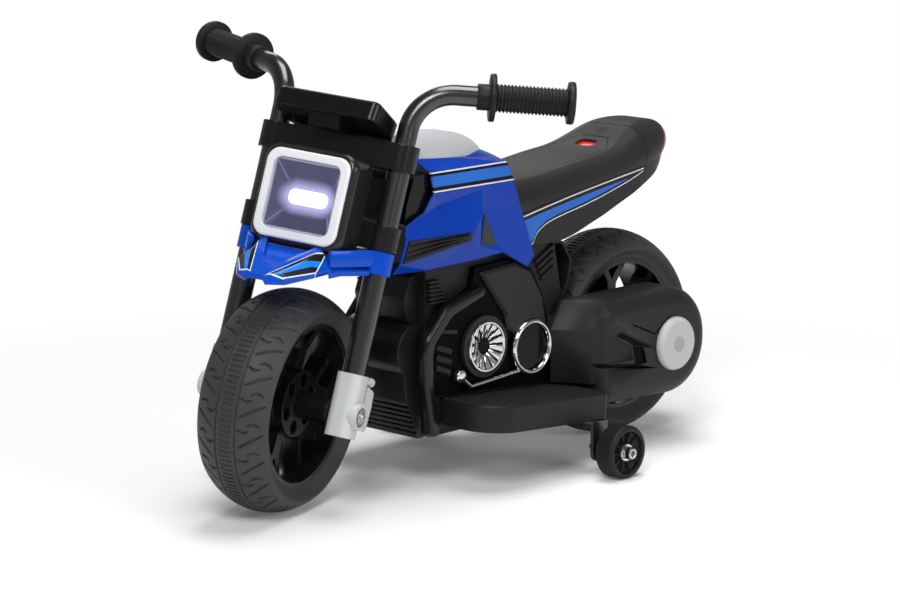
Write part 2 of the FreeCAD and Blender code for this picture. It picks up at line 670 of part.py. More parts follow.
def lamp_reflector():
    """A square dish that fills the housing's hollow and narrows to a flat back behind the light bar."""
    block = rounded_front(FRAME_INNER_HALF_WIDTH + LAMP_REFLECTOR_WALL,
                          FRAME_INNER_HALF_HEIGHT + LAMP_REFLECTOR_WALL,
                          FRAME_INNER_CORNER + LAMP_REFLECTOR_WALL, REFLECTOR_BACK, LAMP_HOUSING_FRONT)
    mouth = fillet_wire([(-FRAME_INNER_HALF_WIDTH, LAMP_MIDDLE - FRAME_INNER_HALF_HEIGHT,
                          FRAME_INNER_CORNER),
                         (FRAME_INNER_HALF_WIDTH, LAMP_MIDDLE - FRAME_INNER_HALF_HEIGHT,
                          FRAME_INNER_CORNER),
                         (FRAME_INNER_HALF_WIDTH, LAMP_MIDDLE + FRAME_INNER_HALF_HEIGHT,
                          FRAME_INNER_CORNER),
                         (-FRAME_INNER_HALF_WIDTH, LAMP_MIDDLE + FRAME_INNER_HALF_HEIGHT,
                          FRAME_INNER_CORNER)],
                        lambda p: V(LAMP_HOUSING_FRONT, p.x, p.y))
    back_width, back_height = LED_BAR_HALF_WIDTH + 4.0, LED_BAR_HALF_HEIGHT + 7.0
    back = fillet_wire([(-back_width, LAMP_MIDDLE - back_height, 4),
                        (back_width, LAMP_MIDDLE - back_height, 4),
                        (back_width, LAMP_MIDDLE + back_height, 4),
                        (-back_width, LAMP_MIDDLE + back_height, 4)],
                       lambda p: V(REFLECTOR_BACK + LAMP_REFLECTOR_WALL, p.x, p.y))
    return block.cut(Part.makeLoft([back, mouth], True, True))


def led_bar():
    back = REFLECTOR_BACK + LAMP_REFLECTOR_WALL
    corners = [(-LED_BAR_HALF_WIDTH, LAMP_MIDDLE - LED_BAR_HALF_HEIGHT, 7),
               (LED_BAR_HALF_WIDTH, LAMP_MIDDLE - LED_BAR_HALF_HEIGHT, 7),
               (LED_BAR_HALF_WIDTH, LAMP_MIDDLE + LED_BAR_HALF_HEIGHT, 7),
               (-LED_BAR_HALF_WIDTH, LAMP_MIDDLE + LED_BAR_HALF_HEIGHT, 7)]
    return slab_x(corners, back, back + LED_BAR_THICKNESS)


def lamp_lens():
    return rounded_front(FRAME_INNER_HALF_WIDTH, FRAME_INNER_HALF_HEIGHT, FRAME_INNER_CORNER,
                         LENS_BACK, LENS_BACK + LAMP_LENS_THICKNESS)


steered("lamp_housing", lamp_housing())
steered("lamp_frame", lamp_frame())
steered("lamp_reflector", lamp_reflector())
steered("led_bar", led_bar())
steered("lamp_lens", lamp_lens())


# Dash: a slab that faces the rider on a foot from the upper clamp, with two sprung push buttons.
DASH_PLACE = FreeCAD.Placement(V(DASH_FRONT, 0, DASH_FRONT_BOTTOM),
                               FreeCAD.Rotation(V(0, 1, 0), -DASH_TILT))
BUTTON_SEAT = DASH_THICKNESS - BUTTON_HEIGHT + BUTTON_PROUD - BUTTON_TRAVEL - BUTTON_GAP
BUTTON_PLACES = [(-DASH_DEPTH * 0.55, side * BUTTON_OFFSET) for side in (1, -1)]


def dash():
    half = DASH_HALF_WIDTH
    outline = [(0, -half, DASH_CORNER), (0, half, DASH_CORNER), (-DASH_DEPTH, half, DASH_CORNER),
               (-DASH_DEPTH, -half, DASH_CORNER)]
    slab = slab_z(outline, 0, DASH_THICKNESS)
    top = [e for e in slab.Edges if abs(e.BoundBox.ZMin - DASH_THICKNESS) < 1e-4]
    slab = slab.makeChamfer(2.5, top)
    for at in BUTTON_PLACES:
        slab = slab.cut(bar_w(BUTTON_RADIUS + BUTTON_GAP, at, BUTTON_SEAT, DASH_THICKNESS))
    return placed(slab, DASH_PLACE)


def dash_button(at):
    cap = bar_w(BUTTON_RADIUS, at, BUTTON_SEAT + BUTTON_TRAVEL + BUTTON_GAP, DASH_THICKNESS + BUTTON_PROUD)
    top = [e for e in cap.Edges if abs(e.BoundBox.ZMin - DASH_THICKNESS - BUTTON_PROUD) < 1e-4]
    return placed(cap.makeFillet(1.0, top), DASH_PLACE)


def dash_foot():
    foot = box(-CLAMP_BACK, DASH_FRONT - 8, -DASH_FOOT_HALF_WIDTH, DASH_FOOT_HALF_WIDTH, UPPER_CLAMP_TOP,
               DASH_FRONT_BOTTOM)
    above = placed(box(-2 * DASH_DEPTH, DASH_DEPTH, -DASH_HALF_WIDTH, DASH_HALF_WIDTH, 0,
                       2 * DASH_THICKNESS), DASH_PLACE)
    return foot.cut(above)


steered("dash", joined([dash(), dash_foot()]))
steered("button_left", dash_button(BUTTON_PLACES[0]))
steered("button_right", dash_button(BUTTON_PLACES[1]))


# Front mudguard: a faceted beak over the wheel with a sleeve round each fork tube, under the lower clamp.
def mudguard():
    roof, edge_drop = LAMP_HOUSING_BOTTOM - 1.0, 6.0
    rows = [(-10.0, 56.0, roof, roof), (18.0, 60.0, roof, roof - edge_drop),
            (44.0, 52.0, roof, roof - edge_drop),
            (66.0, 46.0, roof - 3.0, roof - 20.0),
            (BEAK_REACH, BEAK_TIP_HALF_WIDTH, BEAK_TIP_HEIGHT, BEAK_TIP_HEIGHT - 1.0)]
    vertices, quads = [], []
    for u, half, centre, edge in rows:
        inner = half * 0.42
        vertices += [V(u, -half, edge), V(u, -inner, centre), V(u, inner, centre), V(u, half, edge)]
    for k in range(len(rows) - 1):
        for j in range(3):
            a = 4 * k + j
            quads.append([a, a + 4, a + 5, a + 1])
    shell = faceted(vertices, triangles(quads), V(0, 0, -MUDGUARD_WALL))
    sleeves = [bar_w(MUDGUARD_SLEEVE_RADIUS, leg, MUDGUARD_SLEEVE_BOTTOM,
                     LOWER_CLAMP_BOTTOM) for leg in LEGS]
    webs = [box(-9.0, 12.0, side * 66.0 - 14.0, side * 66.0 + 14.0, MUDGUARD_SLEEVE_BOTTOM + 3,
                LAMP_HOUSING_BOTTOM - 1)
            for side in (-1, 1)]
    whole = joined([shell] + sleeves + webs)
    for leg in LEGS:
        whole = whole.cut(bar_w(FORK_TUBE_RADIUS, leg, MUDGUARD_SLEEVE_BOTTOM, LOWER_CLAMP_BOTTOM))
    return whole


steered("mudguard", mudguard())


# Head tube: a tube on a short neck from the body, with a flanged bush at each end for the stem.
BUSH_RADIUS = STEM_RADIUS + BUSH_WALL
HEAD_RADIUS = BUSH_RADIUS + HEAD_TUBE_WALL
HEAD_BOTTOM = LOWER_CLAMP_TOP + BUSH_GAP + BUSH_FLANGE
HEAD_TOP = UPPER_CLAMP_BOTTOM - BUSH_GAP - BUSH_FLANGE
HEAD_MIDDLE = (HEAD_BOTTOM + HEAD_TOP) / 2


def head_neck():
    tube = bar_w(HEAD_RADIUS, (0, 0), HEAD_BOTTOM, HEAD_TOP)
    beam = box(-NECK_LENGTH, 0, -NECK_HALF_WIDTH, NECK_HALF_WIDTH, HEAD_MIDDLE - NECK_HALF_HEIGHT,
               HEAD_MIDDLE + NECK_HALF_HEIGHT)
    beam = beam.cut(box(-HEAD_RADIUS * 0.5, HEAD_RADIUS, -NECK_HALF_WIDTH, NECK_HALF_WIDTH, HEAD_BOTTOM,
                        HEAD_TOP))
    whole = joined([tube, beam]).cut(bar_w(BUSH_RADIUS, (0, 0), HEAD_BOTTOM, HEAD_TOP))
    whole = placed(whole, RAKED)
    return whole.cut(box(0, TANK_FRONT, -BODY_HALF_WIDTH, BODY_HALF_WIDTH, 0, 2 * TANK_DECK))


def bush(flange_from, flange_to, barrel_from, barrel_to):
    whole = joined([bar_w(HEAD_RADIUS, (0, 0), flange_from, flange_to),
                    bar_w(BUSH_RADIUS, (0, 0), barrel_from, barrel_to)])
    bore = bar_w(STEM_RADIUS + RUNNING_CLEARANCE, (0, 0), min(flange_from, barrel_from),
                 max(flange_to, barrel_to))
    return placed(whole.cut(bore), RAKED)


BUSH_LENGTH = 14.0
chassis("head_neck", head_neck())
LOWER_BUSH = bush(LOWER_CLAMP_TOP + BUSH_GAP, HEAD_BOTTOM, HEAD_BOTTOM, HEAD_BOTTOM + BUSH_LENGTH)
UPPER_BUSH = bush(HEAD_TOP, UPPER_CLAMP_BOTTOM - BUSH_GAP, HEAD_TOP - BUSH_LENGTH, HEAD_TOP)
chassis("steering_bushes", group([LOWER_BUSH, UPPER_BUSH]))


# Body: two half shells that meet in the middle plane and carry everything else.
def seat_plane(z):
    return SEAT_PLANE_FOOT + SEAT_PLANE_SLOPE * (z - SEAT_PLANE_FOOT_HEIGHT)


BODY_OUTLINE = [(BODY_REAR, BODY_BOTTOM, 6), (BODY_FRONT, BODY_BOTTOM, 6), (BODY_FRONT, TANK_FLOOR - 10, 0),
                (TANK_FRONT, TANK_FLOOR, 0), (TANK_FRONT, TANK_DECK, 0),
                (seat_plane(TANK_DECK), TANK_DECK, 0),
                (seat_plane(TANK_FLOOR), TANK_FLOOR, 0),
                (BODY_REAR + BODY_REAR_LEAN * (TANK_FLOOR - REAR_KNEE), TANK_FLOOR, 0),
                (BODY_REAR, REAR_KNEE, 0)]
BOSS_RADIUS = 5.0
BOSS_PLACES = [(300, 340), (246, 316), (330, 262)]


def body_half():
    outer_face = Part.Face(fillet_wire(BODY_OUTLINE, lambda p: V(p.x, 0, p.y)))
    inner_face = outer_face.makeOffset2D(-BODY_WALL)
    shell = outer_face.extrude(V(0, BODY_HALF_WIDTH,
                                 0)).cut(inner_face.extrude(V(0, BODY_HALF_WIDTH - BODY_WALL, 0)))
    bosses = [disc_y(BOSS_RADIUS, at, BODY_HALF_WIDTH - BODY_WALL,
                     2 * BODY_HALF_WIDTH).cut(beyond_shroud()) for at in BOSS_PLACES]
    return joined([shell] + bosses)


# Shrouds: blue faceted side panels of the tank, with a louvred vent and a mesh inset on each.
SHROUD_POINTS = {
    "top_front": (366, 50, 366), "top_middle": (299, 50, 361), "top_rear": (seat_plane(356), 50, 356),
    "stripe_front": (356, 69, 353), "stripe_rear": (seat_plane(352), 69, 352),
    "band_front": (353, 72, 331), "band_middle": (266, 72, 332), "band_rear": (seat_plane(333), 72, 333),
    "brow_front": (343, 67, 316), "brow_rear": (278, 71, 326), "cheek_front": (366, 70, 311),
    "crease_front": (396, 72, 299), "crease_rear": (284, 75, 294),
    "vent_top_front": (400, 76, 285), "vent_top_rear": (297, 77, 283),
    "vent_low_front": (406, 72, 259), "vent_low_rear": (295, 74, 273),
    "keel_front": (411, 66, 249), "keel_middle": (357, 66, 247), "keel_rear": (282, 67, 249),
    "mesh_top": (272, 67, 302), "mesh_foot": (250, 67, 260), "mesh_front": (282, 71, 264),
    "pillar_waist": (seat_plane(300), 70, 300), "pillar_rear": (seat_plane(242), 68, 242),
    "pillar_tip": (201, 66, 230), "pillar_heel": (242, 68, 252)}
SHROUD_NAMES = list(SHROUD_POINTS)
SHROUD_FACETS = [
    ("top_front", "top_middle", "stripe_front"), ("top_middle", "stripe_rear", "stripe_front"),
    ("top_middle", "top_rear", "stripe_rear"), ("stripe_front", "stripe_rear", "band_rear"),
    ("stripe_front", "band_rear", "band_middle"), ("stripe_front", "band_middle", "band_front"),
    ("band_front", "band_middle", "brow_rear"), ("band_front", "brow_rear", "brow_front"),
    ("band_front", "brow_front", "cheek_front"), ("brow_front", "brow_rear", "crease_rear"),
    ("brow_front", "crease_rear", "crease_front"), ("brow_front", "crease_front", "cheek_front"),
    ("crease_front", "crease_rear", "vent_top_rear"), ("crease_front", "vent_top_rear", "vent_top_front"),
    ("vent_top_front", "vent_top_rear", "vent_low_rear"),
    ("vent_top_front", "vent_low_rear", "vent_low_front"),
    ("crease_rear", "mesh_front", "vent_low_rear"), ("crease_rear", "vent_low_rear", "vent_top_rear"),
    ("vent_low_front", "vent_low_rear", "keel_middle"), ("vent_low_front", "keel_middle", "keel_front"),
    ("vent_low_rear", "mesh_front", "keel_rear"), ("vent_low_rear", "keel_rear", "keel_middle"),
    ("brow_rear", "mesh_top", "crease_rear"), ("crease_rear", "mesh_top", "mesh_front"),
    ("mesh_top", "mesh_foot", "mesh_front"), ("band_middle", "mesh_top", "brow_rear"),
    ("band_middle", "band_rear", "pillar_waist"), ("band_middle", "pillar_waist", "mesh_top"),
    ("mesh_top", "pillar_waist", "pillar_rear"), ("mesh_top", "pillar_rear", "mesh_foot"),
    ("mesh_foot", "pillar_rear", "pillar_tip"), ("mesh_foot", "pillar_tip", "pillar_heel"),
    ("mesh_foot", "pillar_heel", "mesh_front"), ("mesh_front", "pillar_heel", "keel_rear")]


def shroud_skin(y_shift, y_depth):
    """The shroud's facets moved out by y_shift and given a depth along Y."""
    vertices = [V(*SHROUD_POINTS[name]) + V(0, y_shift, 0) for name in SHROUD_NAMES]
    faces = []
    for names in SHROUD_FACETS:
        face = [SHROUD_NAMES.index(name) for name in names]
        a, b, c = [vertices[k] for k in face]
        if (b.x - a.x) * (c.z - a.z) - (b.z - a.z) * (c.x - a.x) < 0:
            face.reverse()
        faces.append(face)
    return faceted(vertices, faces, V(0, y_depth, 0))


def beyond_shroud():
    return shroud_skin(-SHROUD_WALL, 2 * BODY_HALF_WIDTH)


def inset_plate(names, share, thickness):
    """A plate on some of the shroud's outer facets, drawn in towards its middle."""
    corners = [V(*SHROUD_POINTS[name]) for name in names]
    middle = V(0, 0, 0)
    for corner in corners:
        middle += corner * (1.0 / len(corners))
    edge = [(middle + (c - middle) * share) for c in corners]
    column = slab_y([(c.x, c.z, 0) for c in edge], 0, 2 * BODY_HALF_WIDTH)
    return column.common(shroud_skin(0, thickness))


VENT_CORNERS = ("vent_top_front", "vent_top_rear", "vent_low_rear", "vent_low_front")
VENT_THICKNESS = 1.5
MESH_THICKNESS = 0.8


def head_panel():
    outline = [(TANK_FRONT, 352, 0), (TANK_FRONT, 316, 0), (366, 306, 0), (392, 294, 4), (388, 318, 0),
               (376, 350, 6)]
    return slab_y(outline, BODY_HALF_WIDTH - 12, BODY_HALF_WIDTH + 14)


LEFT_SHROUD = shroud_skin(0, -SHROUD_WALL)
LEFT_BODY = body_half()
LEFT_VENT = inset_plate(VENT_CORNERS, 0.92, VENT_THICKNESS)
LEFT_MESH = inset_plate(("mesh_top", "mesh_foot", "mesh_front"), 0.86, MESH_THICKNESS)
chassis("shrouds", pair(LEFT_SHROUD))
chassis("shroud_vents", group([pair(LEFT_VENT), pair(LEFT_MESH)]))
chassis("head_panels", pair(head_panel()))


# Tank top and seat: closed at the sides and crowned, each lofted through sections across the bike.
def arched(x, lean, foot, side, shoulder, top):
    """A section across X: flat foot, straight sides, and two arcs over the shoulders to the top."""
    def at(y, z):
        return V(x + lean * (z - foot[1]), y, z)
    left = [at(foot[0], foot[1]), at(side[0], side[1]), at(shoulder[0], shoulder[1]), at(0, top)]
    right = [at(-foot[0], foot[1]), at(-side[0], side[1]), at(-shoulder[0], shoulder[1])]
    edges = [Part.LineSegment(right[0], left[0]).toShape(), Part.LineSegment(left[0], left[1]).toShape(),
             Part.Arc(left[1], left[2], left[3]).toShape(), Part.Arc(left[3], right[2], right[1]).toShape(),
             Part.LineSegment(right[1], right[0]).toShape()]
    return Part.Wire(edges)


TANK_TOP_ROWS = [(352, 47.4, 364, 35, 379, 385), (300, 47.4, 361, 34, 377, 384),
                 (256, 38, 359, 27, 373, 379), (226, 20, 356, 13, 362, 365)]
COLLAR_ROWS = [(286, 47.4, 357, 36, 364, 367), (256, 47.4, 355, 35, 362, 366),
               (222, 42, 350, 29, 355, 358), (196, 32, 341, 21, 344, 346)]
COLLAR_FOOT = 316.0


def crowned(rows, foot):
    sections = [arched(x, 0, (half, foot), (half, edge), (mid, high), top) for x, half, edge, mid, high,
                top in rows]
    return Part.makeLoft(sections, True)


def tank_top():
    return crowned(TANK_TOP_ROWS, TANK_DECK).cut(seat_block(0, 0))


def tank_collar():
    """The blue saddle behind the tank top, draped from the tank's deck over the seat's front."""
    core = slab_y(BODY_OUTLINE, -BODY_HALF_WIDTH, BODY_HALF_WIDTH)
    return crowned(COLLAR_ROWS, COLLAR_FOOT).cut(seat_block(0, 0)).cut(core).cut(tank_top())


def cushioned(x, lean, foot, side, crown):
    """A section across X: flat foot, straight sides, and round shoulders that run into a flat top."""
    def at(y, z):
        return V(x + lean * (z - foot[1]), y, z)
    reach, rise = side[0] - crown[0], crown[1] - side[1]
    radius = (reach ** 2 + rise ** 2) / (2 * rise)
    turn = atan2(side[1] - crown[1] + radius, reach)
    halfway = (turn + pi / 2) / 2
    shoulder = (crown[0] + radius * cos(halfway), crown[1] - radius + radius * sin(halfway))
    left = [at(y, z) for y, z in (foot, side, shoulder, crown)]
    right = [at(-y, z) for y, z in (foot, side, shoulder, crown)]
    edges = [Part.LineSegment(right[0], left[0]).toShape(), Part.LineSegment(left[0], left[1]).toShape(),
             Part.Arc(left[1], left[2], left[3]).toShape(), Part.LineSegment(left[3], right[3]).toShape(),
             Part.Arc(right[3], right[2], right[1]).toShape(),
             Part.LineSegment(right[1], right[0]).toShape()]
    return Part.Wire(edges)


SEAT_KEYS = [(seat_plane(TANK_FLOOR) - SEAT_GAP, SEAT_PLANE_SLOPE, 60, 251, 65, 292, 44, 323.5),
             (150, 0.25, 61, 251, 64.5, 297, 44, 326), (75, 0.1, 60, 269, 62.5, 307, 44, 336),
             (42, 0.05, 58.4, 280, 60.7, 312, 42, 340.5), (12, 0.0, 56.8, 290, 58.2, 317, 34, 352),
             (-12, -0.04, 53, 298.5, 54.5, 320, 25, 363), (-36, -0.12, 46, 306, 47.5, 324, 19, 367),
             (TAIL_END + 10, -0.35, 33, 314, 34, 327, 13, 358)]
SEAT_STEPS = 14


def eased(keys, x):
    """The seat's section values at x: a smooth run through the key sections that never overshoots them."""
    k = max(i for i in range(len(keys) - 1) if keys[i][0] >= x)
    values = [x]
    for column in range(1, len(keys[0])):
        def slope(i):
            return (keys[i + 1][column] - keys[i][column]) / (keys[i + 1][0] - keys[i][0])

        def tangent(i):
            if i == 0 or i == len(keys) - 1:
                return slope(min(i, len(keys) - 2))
            before, after = slope(i - 1), slope(i)
            return 0.0 if before * after <= 0 else 2 * before * after / (before + after)
        span = keys[k + 1][0] - keys[k][0]
        t = (x - keys[k][0]) / span
        start, end = keys[k][column], keys[k + 1][column]
        values.append((2 * t ** 3 - 3 * t ** 2 + 1) * start + (t ** 3 - 2 * t ** 2 + t) * span * tangent(k)
                      + (3 * t ** 2 - 2 * t ** 3) * end + (t ** 3 - t ** 2) * span * tangent(k + 1))
    return values


SEAT_FRONT, SEAT_REAR = SEAT_KEYS[0][0], SEAT_KEYS[-1][0]
SEAT_SECTIONS = [eased(SEAT_KEYS, SEAT_FRONT + (SEAT_REAR - SEAT_FRONT) * k / SEAT_STEPS) for k in
                 range(SEAT_STEPS + 1)]
SEAT_ROWS = [(x, lean, (foot_y, foot_z), (side_y, side_z), (crown_y, crown_z)) for x, lean, foot_y, foot_z,
             side_y, side_z, crown_y, crown_z in SEAT_SECTIONS]


def seat_block(inset, ends):
    """The seat's outside, or with an inset its inside, drawn in at both ends too."""
    rows = []
    for k, (x, lean, foot, side, crown) in enumerate(SEAT_ROWS):
        x += {0: -ends, len(SEAT_ROWS) - 1: ends}.get(k, 0)
        rows.append(cushioned(x, lean, (foot[0] - inset, foot[1] - inset),
                              (side[0] - inset, side[1] - inset), (crown[0], crown[1] - inset)))
    return Part.makeLoft(rows, True)


INSERT_LENGTH = 15.0
INSERT_WIDTH = 28.0
INSERT_DEPTH = 2.4
INSERT_X = 31.0


def seat_slot(inset, z_from, z_to):
    half, width = INSERT_LENGTH / 2 - inset, INSERT_WIDTH / 2 - inset
    bend = 0.98 * half
    corners = [(INSERT_X - half, -width, bend), (INSERT_X + half, -width, bend),
               (INSERT_X + half, width, bend), (INSERT_X - half, width, bend)]
    return slab_z(corners, z_from, z_to)


def seat_shell():
    return seat_block(0, 0).cut(seat_block(SEAT_WALL, SEAT_WALL)).cut(seat_slot(0, 300, 400))


def seat_insert():
    """The red plate under the oval slot in the seat: it follows the seat's inner face."""
    lining = seat_block(SEAT_WALL, SEAT_WALL).cut(seat_block(SEAT_WALL + INSERT_DEPTH, SEAT_WALL))
    return seat_slot(-4.0, 300, 400).common(lining)


def tail_lens():
    x, lean, foot, side, crown = SEAT_ROWS[-1]
    rows = []
    for step, share in ((0.0, 0.9), (0.6, 0.86), (1.0, 0.72)):
        middle = (foot[1] + crown[1]) / 2

        def shrunk(p):
            return (p[0] * share, middle + (p[1] - middle) * share)
        low = shrunk(foot)
        start = x + lean * (low[1] - foot[1]) - step * TAIL_LENS_THICKNESS
        rows.append(cushioned(start, lean, low, shrunk(side), shrunk(crown)))
    return Part.makeLoft(rows, True, True)


chassis("tank_top", tank_top())
PARTS["shrouds"] = group([PARTS["shrouds"], tank_collar()])
chassis("seat", seat_shell())
chassis("seat_insert", seat_insert())
chassis("tail_lens", tail_lens())


# Engine dress: a front drum and grooved sump, side covers with guard bars, chrome turbines, rings and rods.
GROOVE_COUNT = 6
GROOVE_DEPTH = 2.0
GROOVE_HEIGHT = 2.4
SUMP_FOOT = (354.0, BODY_BOTTOM)
SUMP_BROW = (371.0, 100.0)


def engine_front():
    half = ENGINE_HALF_WIDTH
    sump = slab_y(sharp([(BODY_FRONT, BODY_BOTTOM), SUMP_FOOT, SUMP_BROW, (374, 132), (BODY_FRONT, 132)]),
                  -half, half)
    for k in range(GROOVE_COUNT):
        share = (k + 1) / (GROOVE_COUNT + 1)
        x = SUMP_FOOT[0] + (SUMP_BROW[0] - SUMP_FOOT[0]) * share
        z = SUMP_FOOT[1] + (SUMP_BROW[1] - SUMP_FOOT[1]) * share
        sump = sump.cut(box(x - GROOVE_DEPTH, x + 9, -half, half, z, z + GROOVE_HEIGHT))
    drum = disc_y(DRUM_RADIUS, (DRUM_FRONT - DRUM_RADIUS, DRUM_HEIGHT), -half, half)
    head = slab_y([(BODY_FRONT, 178, 0), (360, 186, 5), (366, 212, 8), (356, 236, 6), (BODY_FRONT, 238, 0)],
                  -half + 8, half - 8)
    whole = joined([sump, drum, head])
    return whole.cut(box(0, BODY_FRONT, -half, half, 0, TANK_DECK))


def engine_cover():
    outline = [(160, 94, 3), (350, 106, 4), (357, 130, 20), (354, 166, 20), (330, 194, 20), (282, 216, 3),
               (276, 238, 3), (214, 240, 3), (186, 226, 6), (168, 194, 6), (160, 168, 4)]
    rise_outline = [(272, 232, 0), (231, 178, 0), (228, 162, 0), (191, 142, 0), (164, 158, 0), (171, 192, 0),
                    (190, 223, 0), (215, 236, 0)]
    rise = slab_y(rise_outline, ENGINE_COVER_FACE, COVER_RISE_FACE)
    rise = rise.makeChamfer(COVER_RISE_SLOPE, edges_at_y(rise, COVER_RISE_FACE))
    rise = rise.cut(disc_y(RING_RADIUS + 0.3, RING_CENTRE, 0, 2 * RING_FACE))
    return joined([slab_y(outline, BODY_HALF_WIDTH, ENGINE_COVER_FACE), rise])


def edges_at_y(shape, y):
    return [e for e in shape.Edges if abs(e.BoundBox.YMin - y) < 1e-4 and abs(e.BoundBox.YMax - y) < 1e-4]


def guard_bar():
    """The bent guard from under the tank, round the engine's front corner and down to the footboard."""
    outer = [(266, 220, GUARD_END_ROUND), (332, 204, 30), (366, 166, 36), (363, 120, 60),
             (353, 62, GUARD_END_ROUND)]
    inner = [(353 - GUARD_WIDTH - 4, 62, GUARD_END_ROUND), (363 - GUARD_WIDTH - 4, 120, 50),
             (366 - GUARD_WIDTH - 6, 160, 26), (332 - GUARD_WIDTH, 190, 24),
             (266 + 4, 220 - GUARD_WIDTH - 3, GUARD_END_ROUND)]
    bar = slab_y(outer + inner, ENGINE_COVER_FACE, GUARD_FACE)
    return bar.makeFillet(GUARD_ROUND, edges_at_y(bar, GUARD_FACE))


def turbine():
    centre = TURBINE_CENTRE
    face, back = TURBINE_FACE, ENGINE_COVER_FACE
    rim_ring = ring_y(TURBINE_RADIUS, TURBINE_RADIUS - 3, centre, back, face)
    plate = disc_y(TURBINE_RADIUS, centre, back, back + 1.5)
    cone = Part.makeCone(9.0, 6.0, face - back - 1.5, V(centre[0], back, centre[1]), V(0, 1, 0))
    vanes = []
    for k in range(TURBINE_VANES):
        vane = box(5, TURBINE_RADIUS - 1, back, face - 2, -1.3, 1.3)
        vane.rotate(V(0, 0, 0), V(0, 1, 0), 360.0 * k / TURBINE_VANES)
        vane.translate(V(centre[0], 0, centre[1]))
        vanes.append(vane)
    return joined([rim_ring, plate, cone] + vanes)


BEZEL_WALL = 6.5


def turbine_bezel():
    return ring_y(TURBINE_RADIUS + BEZEL_WALL, TURBINE_RADIUS, TURBINE_CENTRE, ENGINE_COVER_FACE,
                  TURBINE_FACE - 3)


def chrome_ring():
    return ring_y(RING_RADIUS, RING_RADIUS - RING_BAND, RING_CENTRE, ENGINE_COVER_FACE, RING_FACE)


def ring_lens():
    return disc_y(RING_RADIUS - RING_BAND, RING_CENTRE, ENGINE_COVER_FACE, ENGINE_COVER_FACE + 4)


KNOB_PLACE = (305.0, 122.0)
ROD_FACE = 63.0


def chrome_rod():
    knob = disc_y(KNOB_RADIUS, KNOB_PLACE, ENGINE_COVER_FACE, KNOB_FACE)
    path = [V(KNOB_PLACE[0], ROD_FACE, KNOB_PLACE[1]), V(288, ROD_FACE, 108),
            V(RING_CENTRE[0] + 16, ROD_FACE, RING_CENTRE[1] - 24)]
    rod = swept(path, [7.0], ROD_RADIUS)
    return joined([knob, rod]).cut(disc_y(RING_RADIUS, RING_CENTRE, 0, 2 * RING_FACE))


FIN_PITCH = 4.6
FIN_THICKNESS = 2.2


def cooling_fins():
    fins = [box(318 + 2 * k, BODY_FRONT, BODY_HALF_WIDTH, BODY_HALF_WIDTH + 6, 206 + FIN_PITCH * k,
                206 + FIN_PITCH * k + FIN_THICKNESS)
            for k in range(FIN_COUNT)]
    spine = box(328, 340, BODY_HALF_WIDTH, BODY_HALF_WIDTH + 3, 206,
                206 + FIN_PITCH * (FIN_COUNT - 1) + FIN_THICKNESS)
    return joined(fins + [spine])


chassis("engine_front", engine_front())
chassis("engine_covers", pair(joined([engine_cover(), turbine_bezel()])))
chassis("guard_bars", pair(guard_bar()))
chassis("turbines", pair(turbine()))
chassis("chrome_rings", group([pair(chrome_ring()), pair(chrome_rod())]))
chassis("ring_lenses", pair(ring_lens()))
chassis("cooling_fins", pair(cooling_fins()))


# Footboards: tilted trays, open below, with a hinged pedal on the right one.
BOARD_PLACE = FreeCAD.Placement(V(BOARD_REAR, 0, BOARD_REAR_TOP - BOARD_THICKNESS),
                                FreeCAD.Rotation(V(0, 1, 0), -BOARD_TILT))
BOARD_LENGTH = BOARD_FRONT - BOARD_REAR
EAR_THICKNESS = 5.0
EAR_HALF_LENGTH = 6.0
PEDAL_FOOT = PEDAL_X - BOARD_REAR
PEDAL_PIVOT = BOARD_THICKNESS + 7.0
PEDAL_GAP = 0.4


def board_flat():
    corners = [(0, BODY_HALF_WIDTH, 0), (10, BOARD_OUTER, 6), (BOARD_LENGTH, BOARD_OUTER, BOARD_CORNER),
               (BOARD_LENGTH - 12, BODY_HALF_WIDTH, 0)]
    face = Part.Face(fillet_wire(corners, lambda p: V(p.x, p.y, 0)))
    pocket = face.makeOffset2D(-BOARD_WALL)
    slab = face.extrude(V(0, 0, BOARD_THICKNESS))
    top = [e for e in slab.Edges if abs(e.BoundBox.ZMin - BOARD_THICKNESS) < 1e-4]
    slab = slab.makeChamfer(BOARD_EDGE_CHAMFER, [e for e in top if e.BoundBox.YMin > BODY_HALF_WIDTH + 1])
    return slab.cut(pocket.extrude(V(0, 0, BOARD_THICKNESS - BOARD_WALL)))


def pedal_ears():
    ears = []
    for y_from in (PEDAL_INNER - PEDAL_GAP - EAR_THICKNESS, PEDAL_INNER + PEDAL_WIDTH + PEDAL_GAP):
        ear = slab_y([(PEDAL_FOOT - EAR_HALF_LENGTH, BOARD_THICKNESS, 0),
                      (PEDAL_FOOT + EAR_HALF_LENGTH, BOARD_THICKNESS, 0),
                      (PEDAL_FOOT + EAR_HALF_LENGTH, PEDAL_PIVOT + EAR_HALF_LENGTH, 5),
                      (PEDAL_FOOT - EAR_HALF_LENGTH, PEDAL_PIVOT + EAR_HALF_LENGTH, 5)], y_from,
                      y_from + EAR_THICKNESS)
        ears.append(ear.cut(disc_y(PEDAL_PIN_RADIUS + RUNNING_CLEARANCE, (PEDAL_FOOT, PEDAL_PIVOT), y_from,
                                   y_from + EAR_THICKNESS)))
    return ears


